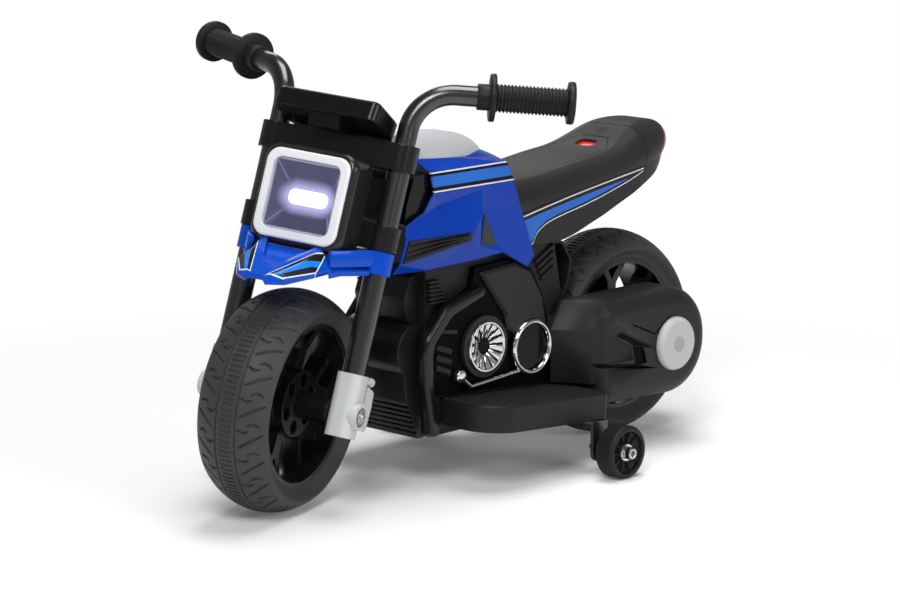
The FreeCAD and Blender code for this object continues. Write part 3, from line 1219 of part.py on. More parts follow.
def pedal():
    """A ribbed plate that leans up to the front on two stub pins; pressed, it turns down about the pins."""
    plate = slab_y([(-4, -PEDAL_THICKNESS / 2, 3), (PEDAL_LENGTH, -PEDAL_THICKNESS / 2, 2),
                    (PEDAL_LENGTH, PEDAL_THICKNESS / 2, 3),
                    (-4, PEDAL_THICKNESS / 2, 3)], PEDAL_INNER, PEDAL_INNER + PEDAL_WIDTH)
    for k in range(7):
        slot = 10 + 7.5 * k
        plate = plate.cut(box(slot, slot + 3, PEDAL_INNER + 5, PEDAL_INNER + PEDAL_WIDTH - 5,
                              PEDAL_THICKNESS / 2 - 1.2, PEDAL_THICKNESS))
    plate.rotate(V(0, 0, 0), V(0, 1, 0), -PEDAL_RISE)
    plate.translate(V(PEDAL_FOOT, 0, PEDAL_PIVOT))
    pin = disc_y(PEDAL_PIN_RADIUS, (PEDAL_FOOT, PEDAL_PIVOT), PEDAL_INNER - PEDAL_GAP - EAR_THICKNESS,
                 PEDAL_INNER + PEDAL_WIDTH + PEDAL_GAP + EAR_THICKNESS)
    return joined([plate, pin])


LEFT_BOARD = placed(board_flat(), BOARD_PLACE)
RIGHT_BOARD = mirrored(placed(joined([board_flat()] + pedal_ears()), BOARD_PLACE))
chassis("footboards", group([LEFT_BOARD, RIGHT_BOARD]))
chassis("foot_pedal", mirrored(placed(pedal(), BOARD_PLACE)))


# Rear end: an arm plate a side for the axle, a deep cover with a cap over each, and a splash guard.
ARM_FACE = BODY_HALF_WIDTH + ARM_THICKNESS
ARM_FRONT = 158.0
AXLE_AT = (0.0, WHEEL_RADIUS)


def rear_arm(hole_radius):
    outline = [(-ARM_BOSS_RADIUS, WHEEL_RADIUS - ARM_BOSS_RADIUS, ARM_BOSS_RADIUS * 0.98),
               (ARM_FRONT, 100, 4), (ARM_FRONT, 166, 4),
               (BODY_REAR, 166, 8), (-ARM_BOSS_RADIUS, WHEEL_RADIUS + ARM_BOSS_RADIUS,
                                     ARM_BOSS_RADIUS * 0.9)]
    return slab_y(outline, BODY_HALF_WIDTH,
                  ARM_FACE).cut(disc_y(hole_radius, AXLE_AT, BODY_HALF_WIDTH, ARM_FACE))


def cover_nose(inset, back, z):
    """One level of the cover's slanting front, drawn in by inset and set back by a length."""
    root = COVER_FRONT - COVER_CORNER
    reach = COVER_SHELF_FRONT - inset - back
    nose = COVER_NOSE - inset - back
    face = COVER_NOSE_FACE - inset
    points = [(root, ARM_FACE), (reach, ARM_FACE), (reach, ARM_FACE + 4 - inset), (nose, face), (root, face)]
    return Part.makePolygon([V(x, y, z) for x, y in points + points[:1]])


def cover_block(inset, face, round_radius):
    """The deep rounded bulge round the axle, and its slanting front that leans back above a break."""
    low = WHEEL_RADIUS - COVER_RADIUS + inset
    top = COVER_TOP - inset
    rear = -COVER_RADIUS + inset
    front = COVER_FRONT - inset
    shelf_low = COVER_SHELF_BOTTOM + inset
    turn = (top - low) / 2 - 3
    outline = [(rear, low, turn), (front, low + 8, COVER_CORNER - inset),
               (front, top, COVER_CORNER - inset), (rear, top, turn)]
    bulge = slab_y(outline, ARM_FACE, face)
    bulge = bulge.makeFillet(round_radius, [e for e in bulge.Edges if e.BoundBox.YMin > face - 1e-4])
    shelf = Part.Face(cover_nose(inset, 0, shelf_low)).extrude(V(0, 0, COVER_BREAK - shelf_low))
    brow = Part.makeLoft([cover_nose(inset, 0, COVER_BREAK), cover_nose(inset, COVER_LEAN, top)], True, True)
    return joined([bulge, shelf, brow])


def rear_cover():
    return cover_block(0, COVER_FACE,
                       COVER_ROUND).cut(cover_block(COVER_WALL, COVER_FACE - COVER_WALL,
                                                    COVER_ROUND - COVER_WALL))


def rear_cap():
    """A domed cap on the cover, over the axle's end."""
    dome = disc_y(CAP_RADIUS, AXLE_AT, COVER_FACE, COVER_FACE + CAP_THICKNESS)
    rim_edge = [e for e in dome.Edges if e.BoundBox.YMin > COVER_FACE + CAP_THICKNESS - 1e-4]
    return dome.makeFillet(CAP_THICKNESS * 0.8, rim_edge)


def body_rear(z):
    """The body's rear face, upright to REAR_KNEE and then leaning forward."""
    return BODY_REAR + BODY_REAR_LEAN * max(0.0, z - REAR_KNEE)


def splash_guard():
    wall = SPLASH_WALL
    foot, brow = 168.0, TANK_FLOOR - 2.0
    outer = [(BODY_REAR, foot, 0), (BODY_REAR - 6, foot, 0), (112, 196, 20), (106, 222, 12),
             (122, brow, 10), (body_rear(brow), brow, 0)]
    inner = [(body_rear(brow - wall), brow - wall, 0), (124, brow - wall, 7), (106 + wall, 222, 9),
             (112 + wall, 197, 20),
             (BODY_REAR, foot + 8, 0)]
    return slab_y(outer + inner, -SPLASH_HALF_WIDTH, SPLASH_HALF_WIDTH)


RIGHT_ARM_HOLE = OUTPUT_HUB_RADIUS + 0.5
chassis("rear_arms", group([rear_arm(AXLE_RADIUS), mirrored(rear_arm(RIGHT_ARM_HOLE))]))
chassis("rear_covers", pair(rear_cover()))
chassis("rear_caps", pair(rear_cap()))
chassis("splash_guard", splash_guard())


# Rear wheel: tyre and rim on the fixed axle, driven by the output gear on the hub's right side.
REAR_HUB_LEFT = BODY_HALF_WIDTH - SIDE_CLEARANCE
REAR_HUB_RIGHT = BODY_HALF_WIDTH - 3.0
GEAR_FACES = [ARM_FACE + GEARBOX_WALL + GEARBOX_GAP + GEAR_STEP * k for k in range(3)]
LID_INNER = GEAR_FACES[2] + GEAR_WIDTH + GEARBOX_GAP
LID_OUTER = LID_INNER + GEARBOX_WALL


def at_rear(shape):
    moved = shape.copy()
    moved.translate(REAR_AXLE)
    return moved


def gear_radius(teeth):
    return GEAR_MODULE * teeth / 2


def stepped(place, turn, teeth_a, teeth_b):
    """The centre of the next gear, in mesh with the one at place, turn degrees up from +X."""
    reach = gear_radius(teeth_a) + gear_radius(teeth_b) + GEAR_SLACK
    return (place[0] + reach * cos(radians(turn)), place[1] + reach * sin(radians(turn)))


GEAR_SLACK = 0.1
CLUSTER_B = stepped(AXLE_AT, GEAR_LINE_TURNS[0], OUTPUT_TEETH, CLUSTER_SMALL_TEETH)
CLUSTER_A = stepped(CLUSTER_B, GEAR_LINE_TURNS[1], CLUSTER_LARGE_TEETH, CLUSTER_SMALL_TEETH)
PINION_AT = stepped(CLUSTER_A, GEAR_LINE_TURNS[2], CLUSTER_LARGE_TEETH, PINION_TEETH)


def toothed(teeth, centre, phase, y_from, y_to):
    """A spur gear with straight-flanked teeth, thin enough to run with backlash."""
    pitch = 2 * pi / teeth
    radius = gear_radius(teeth)
    points = []
    for k in range(teeth):
        for share, reach in ((-0.25, -1.2), (-0.10, 0.85), (0.10, 0.85), (0.25, -1.2)):
            angle = phase + (k + share) * pitch
            r = radius + reach * GEAR_MODULE
            points.append((centre[0] + r * cos(angle), centre[1] + r * sin(angle), 0))
    return slab_y(points, y_from, y_to)


def meshing_phase(turn, teeth_a, phase_a, teeth_b):
    """The phase that puts a gap of gear b on a tooth of gear a along their line of centres."""
    share = (radians(turn) - phase_a) * teeth_a / (2 * pi)
    return radians(turn) + pi - (0.5 - share) * 2 * pi / teeth_b


def right_gear(teeth, centre, phase, plane):
    return toothed(teeth, centre, phase, -GEAR_FACES[plane] - GEAR_WIDTH, -GEAR_FACES[plane])


def output_gear():
    disc = right_gear(OUTPUT_TEETH, AXLE_AT, 0, 0)
    hub = disc_y(OUTPUT_HUB_RADIUS, AXLE_AT, -GEAR_FACES[0] - GEAR_WIDTH, -REAR_HUB_RIGHT)
    whole = joined([disc, hub])
    return whole.cut(disc_y(AXLE_RADIUS + RUNNING_CLEARANCE, AXLE_AT, -LID_OUTER, 0))


def gear_cluster(centre, small_plane, small_phase):
    small = right_gear(CLUSTER_SMALL_TEETH, centre, small_phase, small_plane)
    large = right_gear(CLUSTER_LARGE_TEETH, centre, 0, small_plane + 1)
    neck = disc_y(GEAR_SHAFT_RADIUS + 1.5, centre, -GEAR_FACES[small_plane + 1], -GEAR_FACES[small_plane])
    whole = joined([small, large, neck])
    return whole.cut(disc_y(GEAR_SHAFT_RADIUS + RUNNING_CLEARANCE, centre, -LID_OUTER, 0))


def case_outline(inset):
    places = [(AXLE_AT, OUTPUT_TEETH), (CLUSTER_B, CLUSTER_LARGE_TEETH), (CLUSTER_A, CLUSTER_LARGE_TEETH)]
    return [(place, gear_radius(teeth) + GEAR_MODULE + GEARBOX_GAP + GEARBOX_WALL - inset) for place,
            teeth in places]


def case_block(inset, y_from, y_to):
    discs = [disc_y(r, place, -y_to, -y_from) for place, r in case_outline(inset)]
    discs.append(disc_y(MOTOR_RADIUS + 4 - inset, PINION_AT, -y_to, -y_from))
    return joined(discs)


def gearbox_case():
    case = case_block(0, ARM_FACE,
                      LID_INNER).cut(case_block(GEARBOX_WALL, ARM_FACE + GEARBOX_WALL, LID_INNER))
    case = case.cut(disc_y(RIGHT_ARM_HOLE, AXLE_AT, -LID_INNER, 0))
    posts = [disc_y(GEAR_SHAFT_RADIUS, place, -LID_INNER, -ARM_FACE) for place in (CLUSTER_A, CLUSTER_B)]
    collars = [ring_y(GEAR_SHAFT_RADIUS + 2, GEAR_SHAFT_RADIUS, CLUSTER_A, -GEAR_FACES[1] + 0.3, -ARM_FACE)]
    return joined([case] + posts + collars)


def gearbox_lid():
    lid = case_block(0, LID_INNER, LID_OUTER)
    lid = lid.cut(disc_y(AXLE_RADIUS, AXLE_AT, -LID_OUTER, 0))
    return lid.cut(disc_y(MOTOR_SHAFT_RADIUS + 0.6, PINION_AT, -LID_OUTER, 0))


def motor():
    can = disc_y(MOTOR_RADIUS, PINION_AT, -LID_OUTER - MOTOR_LENGTH, -LID_OUTER)
    terminals = [box(PINION_AT[0] - 1, PINION_AT[0] + 1, -LID_OUTER - MOTOR_LENGTH - 3,
                     -LID_OUTER - MOTOR_LENGTH,
                     PINION_AT[1] + dz - 2, PINION_AT[1] + dz + 2) for dz in (-6, 6)]
    bore = disc_y(MOTOR_SHAFT_RADIUS + RUNNING_CLEARANCE, PINION_AT, -LID_OUTER - MOTOR_LENGTH + 6,
                  -LID_OUTER)
    return joined([can] + terminals).cut(bore)


def motor_pinion():
    """The pinion with its shaft, which runs in the motor."""
    phase = meshing_phase(GEAR_LINE_TURNS[2], CLUSTER_LARGE_TEETH, 0, PINION_TEETH)
    teeth = right_gear(PINION_TEETH, PINION_AT, phase, 2)
    shaft = disc_y(MOTOR_SHAFT_RADIUS, PINION_AT, -LID_OUTER - MOTOR_LENGTH + 6.5, -GEAR_FACES[2])
    return joined([teeth, shaft])


SMALL_B_PHASE = meshing_phase(GEAR_LINE_TURNS[0], OUTPUT_TEETH, 0, CLUSTER_SMALL_TEETH)
SMALL_A_PHASE = meshing_phase(GEAR_LINE_TURNS[1], CLUSTER_LARGE_TEETH, 0, CLUSTER_SMALL_TEETH)
chassis("rear_axle", at_rear(axle(-LID_OUTER - 9, ARM_FACE + 9, ARM_FACE, -LID_OUTER)))
chassis("rear_rim", at_rear(rim(REAR_HUB_LEFT, REAR_HUB_RIGHT)))
chassis("rear_tyre", at_rear(tyre()))
chassis("output_gear", output_gear())
chassis("gear_cluster_b", gear_cluster(CLUSTER_B, 0, SMALL_B_PHASE))
chassis("gear_cluster_a", gear_cluster(CLUSTER_A, 1, SMALL_A_PHASE))
chassis("motor_pinion", motor_pinion())
chassis("gearbox_shell", group([gearbox_case(), gearbox_lid()]))
chassis("motor", motor())


# Power: battery and controller on the body's floor, a speaker, a charging socket and a rocker switch.
def battery():
    length, width, height = BATTERY_SIZE
    floor = BODY_BOTTOM + BODY_WALL
    case = box(BATTERY_X - length / 2, BATTERY_X + length / 2, -width / 2, width / 2, floor, floor + height)
    tabs = [box(BATTERY_X - length / 2 + 8, BATTERY_X - length / 2 + 14, y - 2, y + 2, floor + height,
                floor + height + 6)
            for y in (-12, 12)]
    return joined([case] + tabs)


def controller():
    length, width, height = CONTROLLER_SIZE
    floor = BODY_BOTTOM + BODY_WALL + BATTERY_SIZE[2]
    start = BATTERY_X - BATTERY_SIZE[0] / 2 + 16
    return box(start, start + length - 8, -width / 2, width / 2, floor, floor + height)


def speaker():
    inner = BODY_HALF_WIDTH - BODY_WALL
    frame = disc_y(SPEAKER_RADIUS, SPEAKER_PLACE, inner - 3, inner)
    basket = Part.makeCone(SPEAKER_RADIUS * 0.5, SPEAKER_RADIUS * 0.85, 9,
                           V(SPEAKER_PLACE[0], inner - 12, SPEAKER_PLACE[1]), V(0, 1, 0))
    magnet = disc_y(SPEAKER_RADIUS * 0.5, SPEAKER_PLACE, inner - 20, inner - 12)
    return joined([frame, basket, magnet])


SPEAKER_PLACE = (300.0, 296.0)


def charge_socket():
    wall = BODY_HALF_WIDTH
    flange = disc_y(SOCKET_FLANGE_RADIUS, SOCKET_PLACE, -wall - 2, -wall)
    barrel = disc_y(SOCKET_BARREL_RADIUS, SOCKET_PLACE, -wall, -wall + SOCKET_BORE_LENGTH + 2)
    return joined([flange, barrel]).cut(disc_y(SOCKET_BORE_RADIUS, SOCKET_PLACE, -wall - 2,
                                               -wall + SOCKET_BORE_LENGTH - 2))


ROCKER_PIVOT = -(BODY_HALF_WIDTH + 4.0)
SWITCH_HEIGHT = 6.0
ROCKER_PIN_RADIUS = 1.2


def switch_frame():
    x, z = SWITCH_PLACE
    wall = -BODY_HALF_WIDTH
    half_x, half_z = SWITCH_HALF_LENGTH, SWITCH_HALF_WIDTH
    frame = box(x - half_x - SWITCH_FRAME, x + half_x + SWITCH_FRAME, wall - SWITCH_HEIGHT, wall,
                z - half_z - SWITCH_FRAME, z + half_z + SWITCH_FRAME)
    frame = frame.cut(box(x - half_x, x + half_x, wall - SWITCH_HEIGHT, wall, z - half_z, z + half_z))
    return frame.cut(bar_at(SWITCH_PLACE, ROCKER_PIN_RADIUS + RUNNING_CLEARANCE, half_z + SWITCH_FRAME))


def bar_at(place, radius, half_length):
    return Part.makeCylinder(radius, 2 * half_length, V(place[0], ROCKER_PIVOT, place[1] - half_length))


def power_rocker():
    x, z = SWITCH_PLACE
    half_x, half_z = SWITCH_HALF_LENGTH - ROCKER_GAP, SWITCH_HALF_WIDTH - ROCKER_GAP
    out = -ROCKER_PIVOT
    key = slab_z([(x - half_x, -(out - 1.5), 0), (x + half_x, -(out - 1.5), 0),
                  (x + half_x, -(out + 2.4), 1), (x, -(out + 3.6), 12),
                  (x - half_x, -(out + 2.4), 1)], z - half_z, z + half_z)
    whole = joined([key, bar_at(SWITCH_PLACE, ROCKER_PIN_RADIUS, SWITCH_HALF_WIDTH + SWITCH_FRAME)])
    whole.rotate(V(x, ROCKER_PIVOT, z), V(0, 0, 1), -ROCKER_TILT)
    return whole


RIGHT_BODY = mirrored(LEFT_BODY).cut(disc_y(SOCKET_BARREL_RADIUS, SOCKET_PLACE, -BODY_HALF_WIDTH,
                                            -BODY_HALF_WIDTH + BODY_WALL))
chassis("body_halves", group([LEFT_BODY, RIGHT_BODY]))
chassis("battery", battery())
chassis("controller", controller())
chassis("speaker", speaker())
chassis("charge_socket", charge_socket())
chassis("switch_frame", switch_frame())
chassis("power_rocker", power_rocker())


# Training wheels: a bent bracket under each footboard, a bolt and a free wheel.
BRACKET_FOOT = 14.0
TRAINER_HUB_RADIUS = 9.0
BOLT_HEAD_RADIUS = 7.0
BOLT_HEAD_HEIGHT = 5.0
TRAINER_AT = (TRAINER_X, TRAINER_RADIUS)


def bracket():
    """A flange flat under the tilted footboard and a plate down to the bolt."""
    flange = box(TRAINER_X - BRACKET_HALF_WIDTH - BOARD_REAR, TRAINER_X + BRACKET_HALF_WIDTH - BOARD_REAR,
                 BODY_HALF_WIDTH + 2, BRACKET_FACE, -BRACKET_THICKNESS, 0)
    flange = placed(flange, BOARD_PLACE)
    below_board = placed(box(-100, 300, 0, 200, -200, 0), BOARD_PLACE)
    plate = slab_y([(TRAINER_X - BRACKET_HALF_WIDTH, BRACKET_FOOT, 9),
                    (TRAINER_X + BRACKET_HALF_WIDTH, BRACKET_FOOT, 9),
                    (TRAINER_X + BRACKET_HALF_WIDTH, BOARD_REAR_TOP, 0),
                    (TRAINER_X - BRACKET_HALF_WIDTH, BOARD_REAR_TOP, 0)],
                   BRACKET_FACE - BRACKET_THICKNESS, BRACKET_FACE)
    whole = joined([flange, plate.common(below_board)])
    return whole.cut(disc_y(TRAINER_BOLT_RADIUS, TRAINER_AT, 0, 2 * TRAINER_OUTER))


def trainer_bolt():
    shank = disc_y(TRAINER_BOLT_RADIUS, TRAINER_AT, BRACKET_FACE - BRACKET_THICKNESS - 8,
                   TRAINER_OUTER + SIDE_CLEARANCE)
    head = disc_y(BOLT_HEAD_RADIUS, TRAINER_AT, TRAINER_OUTER + SIDE_CLEARANCE,
                  TRAINER_OUTER + SIDE_CLEARANCE + BOLT_HEAD_HEIGHT)
    nut = hexagon_y(13.0, TRAINER_AT, BRACKET_FACE - BRACKET_THICKNESS - 6,
                    BRACKET_FACE - BRACKET_THICKNESS)
    return joined([shank, head, nut])


def trainer_wheel():
    """A moulded wheel with rounded shoulders, a dished face and a hub that reaches in to the bracket."""
    inner, outer, r = TRAINER_INNER, TRAINER_OUTER, TRAINER_RADIUS
    bore = TRAINER_BOLT_RADIUS + RUNNING_CLEARANCE
    hub_start = BRACKET_FACE + SIDE_CLEARANCE
    profile = [(bore, hub_start), (TRAINER_HUB_RADIUS, hub_start), (TRAINER_HUB_RADIUS, inner + 4),
               (r - 9, inner + 4), (r - 7, inner),
               (r - 2.5, inner), (r, inner + 3), (r, outer - 4), (r - 2.5, outer), (r - 7, outer),
               (r - 9, outer - 4),
               (TRAINER_HUB_RADIUS, outer - 4), (TRAINER_HUB_RADIUS, outer), (bore, outer)]
    wheel = turned_y(profile)
    wheel.translate(V(TRAINER_X, 0, TRAINER_RADIUS))
    return wheel


chassis("trainer_brackets", group([pair(bracket()), pair(trainer_bolt())]))
chassis("trainer_wheel_left", trainer_wheel())
chassis("trainer_wheel_right", mirrored(trainer_wheel()))




os.makedirs("parts", exist_ok=True)
for name, shape in PARTS.items():
    shape.exportStep(os.path.join("parts", name + ".step"))
    print(name, len(shape.Solids), round(shape.Volume / 1000, 1), "cm3", shape.isValid())
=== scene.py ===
import bpy
import bmesh
import json
from math import atan2, cos, hypot, pi, radians, sin, sqrt
from mathutils import Matrix, Vector


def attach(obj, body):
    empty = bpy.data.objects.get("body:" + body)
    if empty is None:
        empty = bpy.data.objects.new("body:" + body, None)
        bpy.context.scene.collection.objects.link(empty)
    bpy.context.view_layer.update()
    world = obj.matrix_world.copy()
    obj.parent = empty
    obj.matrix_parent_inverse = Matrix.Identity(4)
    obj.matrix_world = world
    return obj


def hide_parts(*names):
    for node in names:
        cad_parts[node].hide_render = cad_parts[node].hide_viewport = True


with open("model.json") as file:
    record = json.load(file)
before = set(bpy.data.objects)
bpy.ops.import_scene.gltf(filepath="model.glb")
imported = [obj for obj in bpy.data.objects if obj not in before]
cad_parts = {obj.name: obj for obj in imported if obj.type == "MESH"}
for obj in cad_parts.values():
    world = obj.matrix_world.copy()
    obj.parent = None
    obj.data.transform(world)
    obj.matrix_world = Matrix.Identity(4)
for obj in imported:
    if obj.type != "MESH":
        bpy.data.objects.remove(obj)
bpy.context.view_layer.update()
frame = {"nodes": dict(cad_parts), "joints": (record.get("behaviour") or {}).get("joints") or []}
scene = bpy.context.scene
scene.view_settings.view_transform = "Standard"

# Camera: a long lens, slightly above the bike, from its front left quarter.
camera_data = bpy.data.cameras.new("camera")
camera_data.lens = 124.88
camera_data.sensor_width = 36.0
camera = bpy.data.objects.new("camera", camera_data)
camera_yaw, camera_pitch = radians(45.81), radians(11.12)
line_of_sight = Vector((-sin(camera_yaw) * cos(camera_pitch), -cos(camera_yaw) * cos(camera_pitch),
                        -sin(camera_pitch)))
camera.location = (2.6934, 2.3697, 0.8595)
camera.rotation_euler = line_of_sight.to_track_quat("-Z", "Y").to_euler()
scene.collection.objects.link(camera)
scene.camera = camera


# Studio: a pale floor that fades to white, a surround that is white near the horizon and dimmer overhead, and
# four soft lights: a large one above, one in front, a low one at the side and a weak one behind. Only the
# floor is geometry, and it isn't the bike's.
def add_node(material, kind, **settings):
    node = material.node_tree.nodes.new(kind)
    for key, value in settings.items():
        setattr(node, key, value)
    return node


def feed(material, target, value):
    """Sets an input to a constant, or links another node's output to it."""
    if isinstance(value, bpy.types.NodeSocket):
        material.node_tree.links.new(value, target)
    else:
        target.default_value = value


def calc(material, operation, *values):
    """A Math node's output."""
    node = add_node(material, "ShaderNodeMath", operation=operation)
    for target, value in zip(node.inputs, values):
        feed(material, target, value)
    return node.outputs[0]


def ramp(material, value, low, high, at_low=0.0, at_high=1.0):
    """A smooth change of a value from one level to another."""
    node = add_node(material, "ShaderNodeMapRange", interpolation_type="SMOOTHSTEP")
    for target, number in zip(node.inputs, (value, low, high, at_low, at_high)):
        feed(material, target, number)
    return node.outputs[0]


def distance(material, along, across):
    """The length of a flat step."""
    return calc(material, "SQRT", calc(material, "ADD", calc(material, "MULTIPLY", along, along),
                                       calc(material, "MULTIPLY", across, across)))


def seen_directly(material):
    """How far a ray shows the backdrop: all of it to the camera and through clear pieces, less in gloss."""
    path = add_node(material, "ShaderNodeLightPath")
    in_gloss = calc(material, "MULTIPLY", path.outputs["Is Glossy Ray"], 0.3)
    shown = calc(material, "MAXIMUM", path.outputs["Is Camera Ray"], in_gloss)
    return calc(material, "MAXIMUM", shown, path.outputs["Is Transmission Ray"])


def axes(material):
    """The three Object coordinates, in metres."""
    split = add_node(material, "ShaderNodeSeparateXYZ")
    feed(material, split.inputs[0], add_node(material, "ShaderNodeTexCoord").outputs["Object"])
    return split.outputs


def studio_floor():
    size, middle, fade_from, fade_to = 14.0, (0.26, 0.0), 0.42, 1.05
    mesh = bmesh.new()
    bmesh.ops.create_grid(mesh, x_segments=1, y_segments=1, size=size)
    data = bpy.data.meshes.new("studio_floor")
    mesh.to_mesh(data)
    mesh.free()
    paper = bpy.data.materials.new("studio_paper")
    paper.use_nodes = True
    paper.node_tree.nodes.clear()
    x, y, _ = axes(paper)
    away = distance(paper, calc(paper, "SUBTRACT", x, middle[0]), calc(paper, "SUBTRACT", y, middle[1]))
    fade = ramp(paper, away, fade_from, fade_to)
    matt = add_node(paper, "ShaderNodeBsdfDiffuse")
    feed(paper, matt.inputs["Color"], (0.94, 0.94, 0.94, 1))
    lift = add_node(paper, "ShaderNodeEmission")
    feed(paper, lift.inputs["Strength"], calc(paper, "MULTIPLY", seen_directly(paper), 0.1))
    lit = add_node(paper, "ShaderNodeAddShader")
    feed(paper, lit.inputs[0], matt.outputs[0])
    feed(paper, lit.inputs[1], lift.outputs[0])
    white = add_node(paper, "ShaderNodeEmission")
    feed(paper, white.inputs["Strength"], 1.0)
    mixed = add_node(paper, "ShaderNodeMixShader")
    feed(paper, mixed.inputs[0], calc(paper, "MULTIPLY", fade, seen_directly(paper)))
    feed(paper, mixed.inputs[1], lit.outputs[0])
    feed(paper, mixed.inputs[2], white.outputs[0])
    output = add_node(paper, "ShaderNodeOutputMaterial")
    feed(paper, output.inputs["Surface"], mixed.outputs[0])
    data.materials.append(paper)
    floor = bpy.data.objects.new("studio_floor", data)
    scene.collection.objects.link(floor)


def studio_surround():
    world = bpy.data.worlds.new("studio_surround")
    world.use_nodes = True
    world.node_tree.nodes.clear()
    soft = add_node(world, "ShaderNodeBackground")
    feed(world, soft.inputs["Strength"], 0.14)
    white = add_node(world, "ShaderNodeBackground")
    split = add_node(world, "ShaderNodeSeparateXYZ")
    feed(world, split.inputs[0], add_node(world, "ShaderNodeTexCoord").outputs["Generated"])
    feed(world, white.inputs["Strength"], ramp(world, split.outputs["Z"], 0.1, 0.65, 1.0, 0.3))
    mixed = add_node(world, "ShaderNodeMixShader")
    feed(world, mixed.inputs[0], seen_directly(world))
    feed(world, mixed.inputs[1], soft.outputs[0])
    feed(world, mixed.inputs[2], white.outputs[0])
    output = add_node(world, "ShaderNodeOutputWorld")
    feed(world, output.inputs["Surface"], mixed.outputs[0])
    scene.world = world


def soft_light(name, place, aim, width, height, power):
    data = bpy.data.lights.new(name, "AREA")
    data.shape = "RECTANGLE"
    data.size, data.size_y = width, height
    data.energy = power
    light = bpy.data.objects.new(name, data)
    light.location = place
    light.rotation_euler = (Vector(aim) - Vector(place)).to_track_quat("-Z", "Y").to_euler()
    scene.collection.objects.link(light)


bike_middle = (0.25, 0.0, 0.22)
studio_floor()
studio_surround()
soft_light("light_overhead", (0.1, 0.1, 2.3), bike_middle, 1.6, 1.1, 35)
soft_light("light_front", (2.3, 1.4, 2.3), bike_middle, 0.9, 1.1, 42)
soft_light("light_side", (0.2, 2.8, 1.3), bike_middle, 1.6, 0.7, 20)
soft_light("light_behind", (-1.2, -2.4, 1.7), bike_middle, 1.4, 0.9, 12)


# Frame shells: two hollow halves of black blow-moulded plastic, screwed together round the battery, with the
# head tube's neck between them at the front. Behind the engine the left half has four slanted slats.
def shader_of(material):
    return material.node_tree.nodes["Principled BSDF"]


def moulding(name, colour, worn_colour, rough, grain, grain_depth, round_edge, shine=0.5, metal=0.0):
    """A moulded finish: shade and roughness wander slowly, a fine grain dulls the surface, and the bevel node
    rounds the edges that a mould never leaves sharp."""
    material = bpy.data.materials.new(name)
    material.use_nodes = True
    shader = shader_of(material)
    feed(material, shader.inputs["Specular IOR Level"], shine)
    feed(material, shader.inputs["Metallic"], metal)
    place = add_node(material, "ShaderNodeTexCoord").outputs["Object"]
    drift = add_node(material, "ShaderNodeTexNoise")
    feed(material, drift.inputs["Vector"], place)
    feed(material, drift.inputs["Scale"], 14.0)
    feed(material, drift.inputs["Detail"], 4.0)
    shade = add_node(material, "ShaderNodeMix", data_type="RGBA")
    feed(material, shade.inputs["Factor"], drift.outputs["Fac"])
    feed(material, shade.inputs[6], (*colour, 1))
    feed(material, shade.inputs[7], (*worn_colour, 1))
    feed(material, shader.inputs["Base Color"], shade.outputs[2])
    spread = add_node(material, "ShaderNodeMapRange")
    feed(material, spread.inputs["Value"], drift.outputs["Fac"])
    feed(material, spread.inputs["To Min"], rough * 0.85)
    feed(material, spread.inputs["To Max"], rough * 1.15)
    feed(material, shader.inputs["Roughness"], spread.outputs[0])
    fine = add_node(material, "ShaderNodeTexNoise")
    feed(material, fine.inputs["Vector"], place)
    feed(material, fine.inputs["Scale"], grain)
    feed(material, fine.inputs["Detail"], 2.0)
    edge = add_node(material, "ShaderNodeBevel", samples=4)
    feed(material, edge.inputs["Radius"], round_edge)
    relief = add_node(material, "ShaderNodeBump")
    feed(material, relief.inputs["Distance"], grain_depth)
    feed(material, relief.inputs["Strength"], 0.6)
    feed(material, relief.inputs["Height"], fine.outputs["Fac"])
    feed(material, relief.inputs["Normal"], edge.outputs[0])
    feed(material, shader.inputs["Normal"], relief.outputs[0])
    return material


def dress(material, *names):
    for name in names:
        for slot in frame["nodes"][name].material_slots:
            slot.material = material


def piece(name, mesh, material, body, slot, *stands_for, place=Matrix.Identity(4), crease=35.0):
    """An object at the origin from a placed bmesh. It moves with a body and may stand for nodes."""
    bmesh.ops.transform(mesh, matrix=place, verts=mesh.verts)
    data = bpy.data.meshes.new(name)
    mesh.to_mesh(data)
    mesh.free()
    data.shade_smooth()
    data.set_sharp_from_angle(angle=radians(crease))
    data.materials.append(material)
    shape = bpy.data.objects.new(name, data)
    scene.collection.objects.link(shape)
    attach(shape, body)
    if stands_for:
        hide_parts(*stands_for)
    return shape


def soften(mesh, edges, offset):
    bmesh.ops.bevel(mesh, geom=edges, offset=offset, segments=2, profile=0.5, affect="EDGES", material=-1)


def slat(mesh, start, end, width, thickness, facing):
    """A straight bar between two points, its thickness along the facing direction, with soft edges."""
    start, end, facing = Vector(start), Vector(end), Vector(facing).normalized()
    along = (end - start).normalized()
    turn = Matrix((along, facing.cross(along).normalized(), facing)).transposed().to_4x4()
    size = Matrix.Diagonal(((end - start).length, width, thickness, 1))
    made = bmesh.ops.create_cube(mesh, size=1.0, matrix=Matrix.Translation((start + end) / 2) @ turn @ size)
    edges = list(dict.fromkeys(edge for vert in made["verts"] for edge in vert.link_edges))
    soften(mesh, edges, 0.25 * min(width, thickness))


def slatted_panel():
    side, proud, slats = 0.0515, 0.004, 4
    top_front, top_rear = Vector((0.173, side, 0.229)), Vector((0.142, side, 0.246))
    low_front, low_rear = Vector((0.163, side, 0.209)), Vector((0.142, side, 0.221))
    mesh = bmesh.new()
    for k in range(slats):
        share = k / (slats - 1)
        front, rear = top_front.lerp(low_front, share), top_rear.lerp(low_rear, share)
        slat(mesh, front, rear, 0.0044, proud, (0, 1, 0))
    return mesh


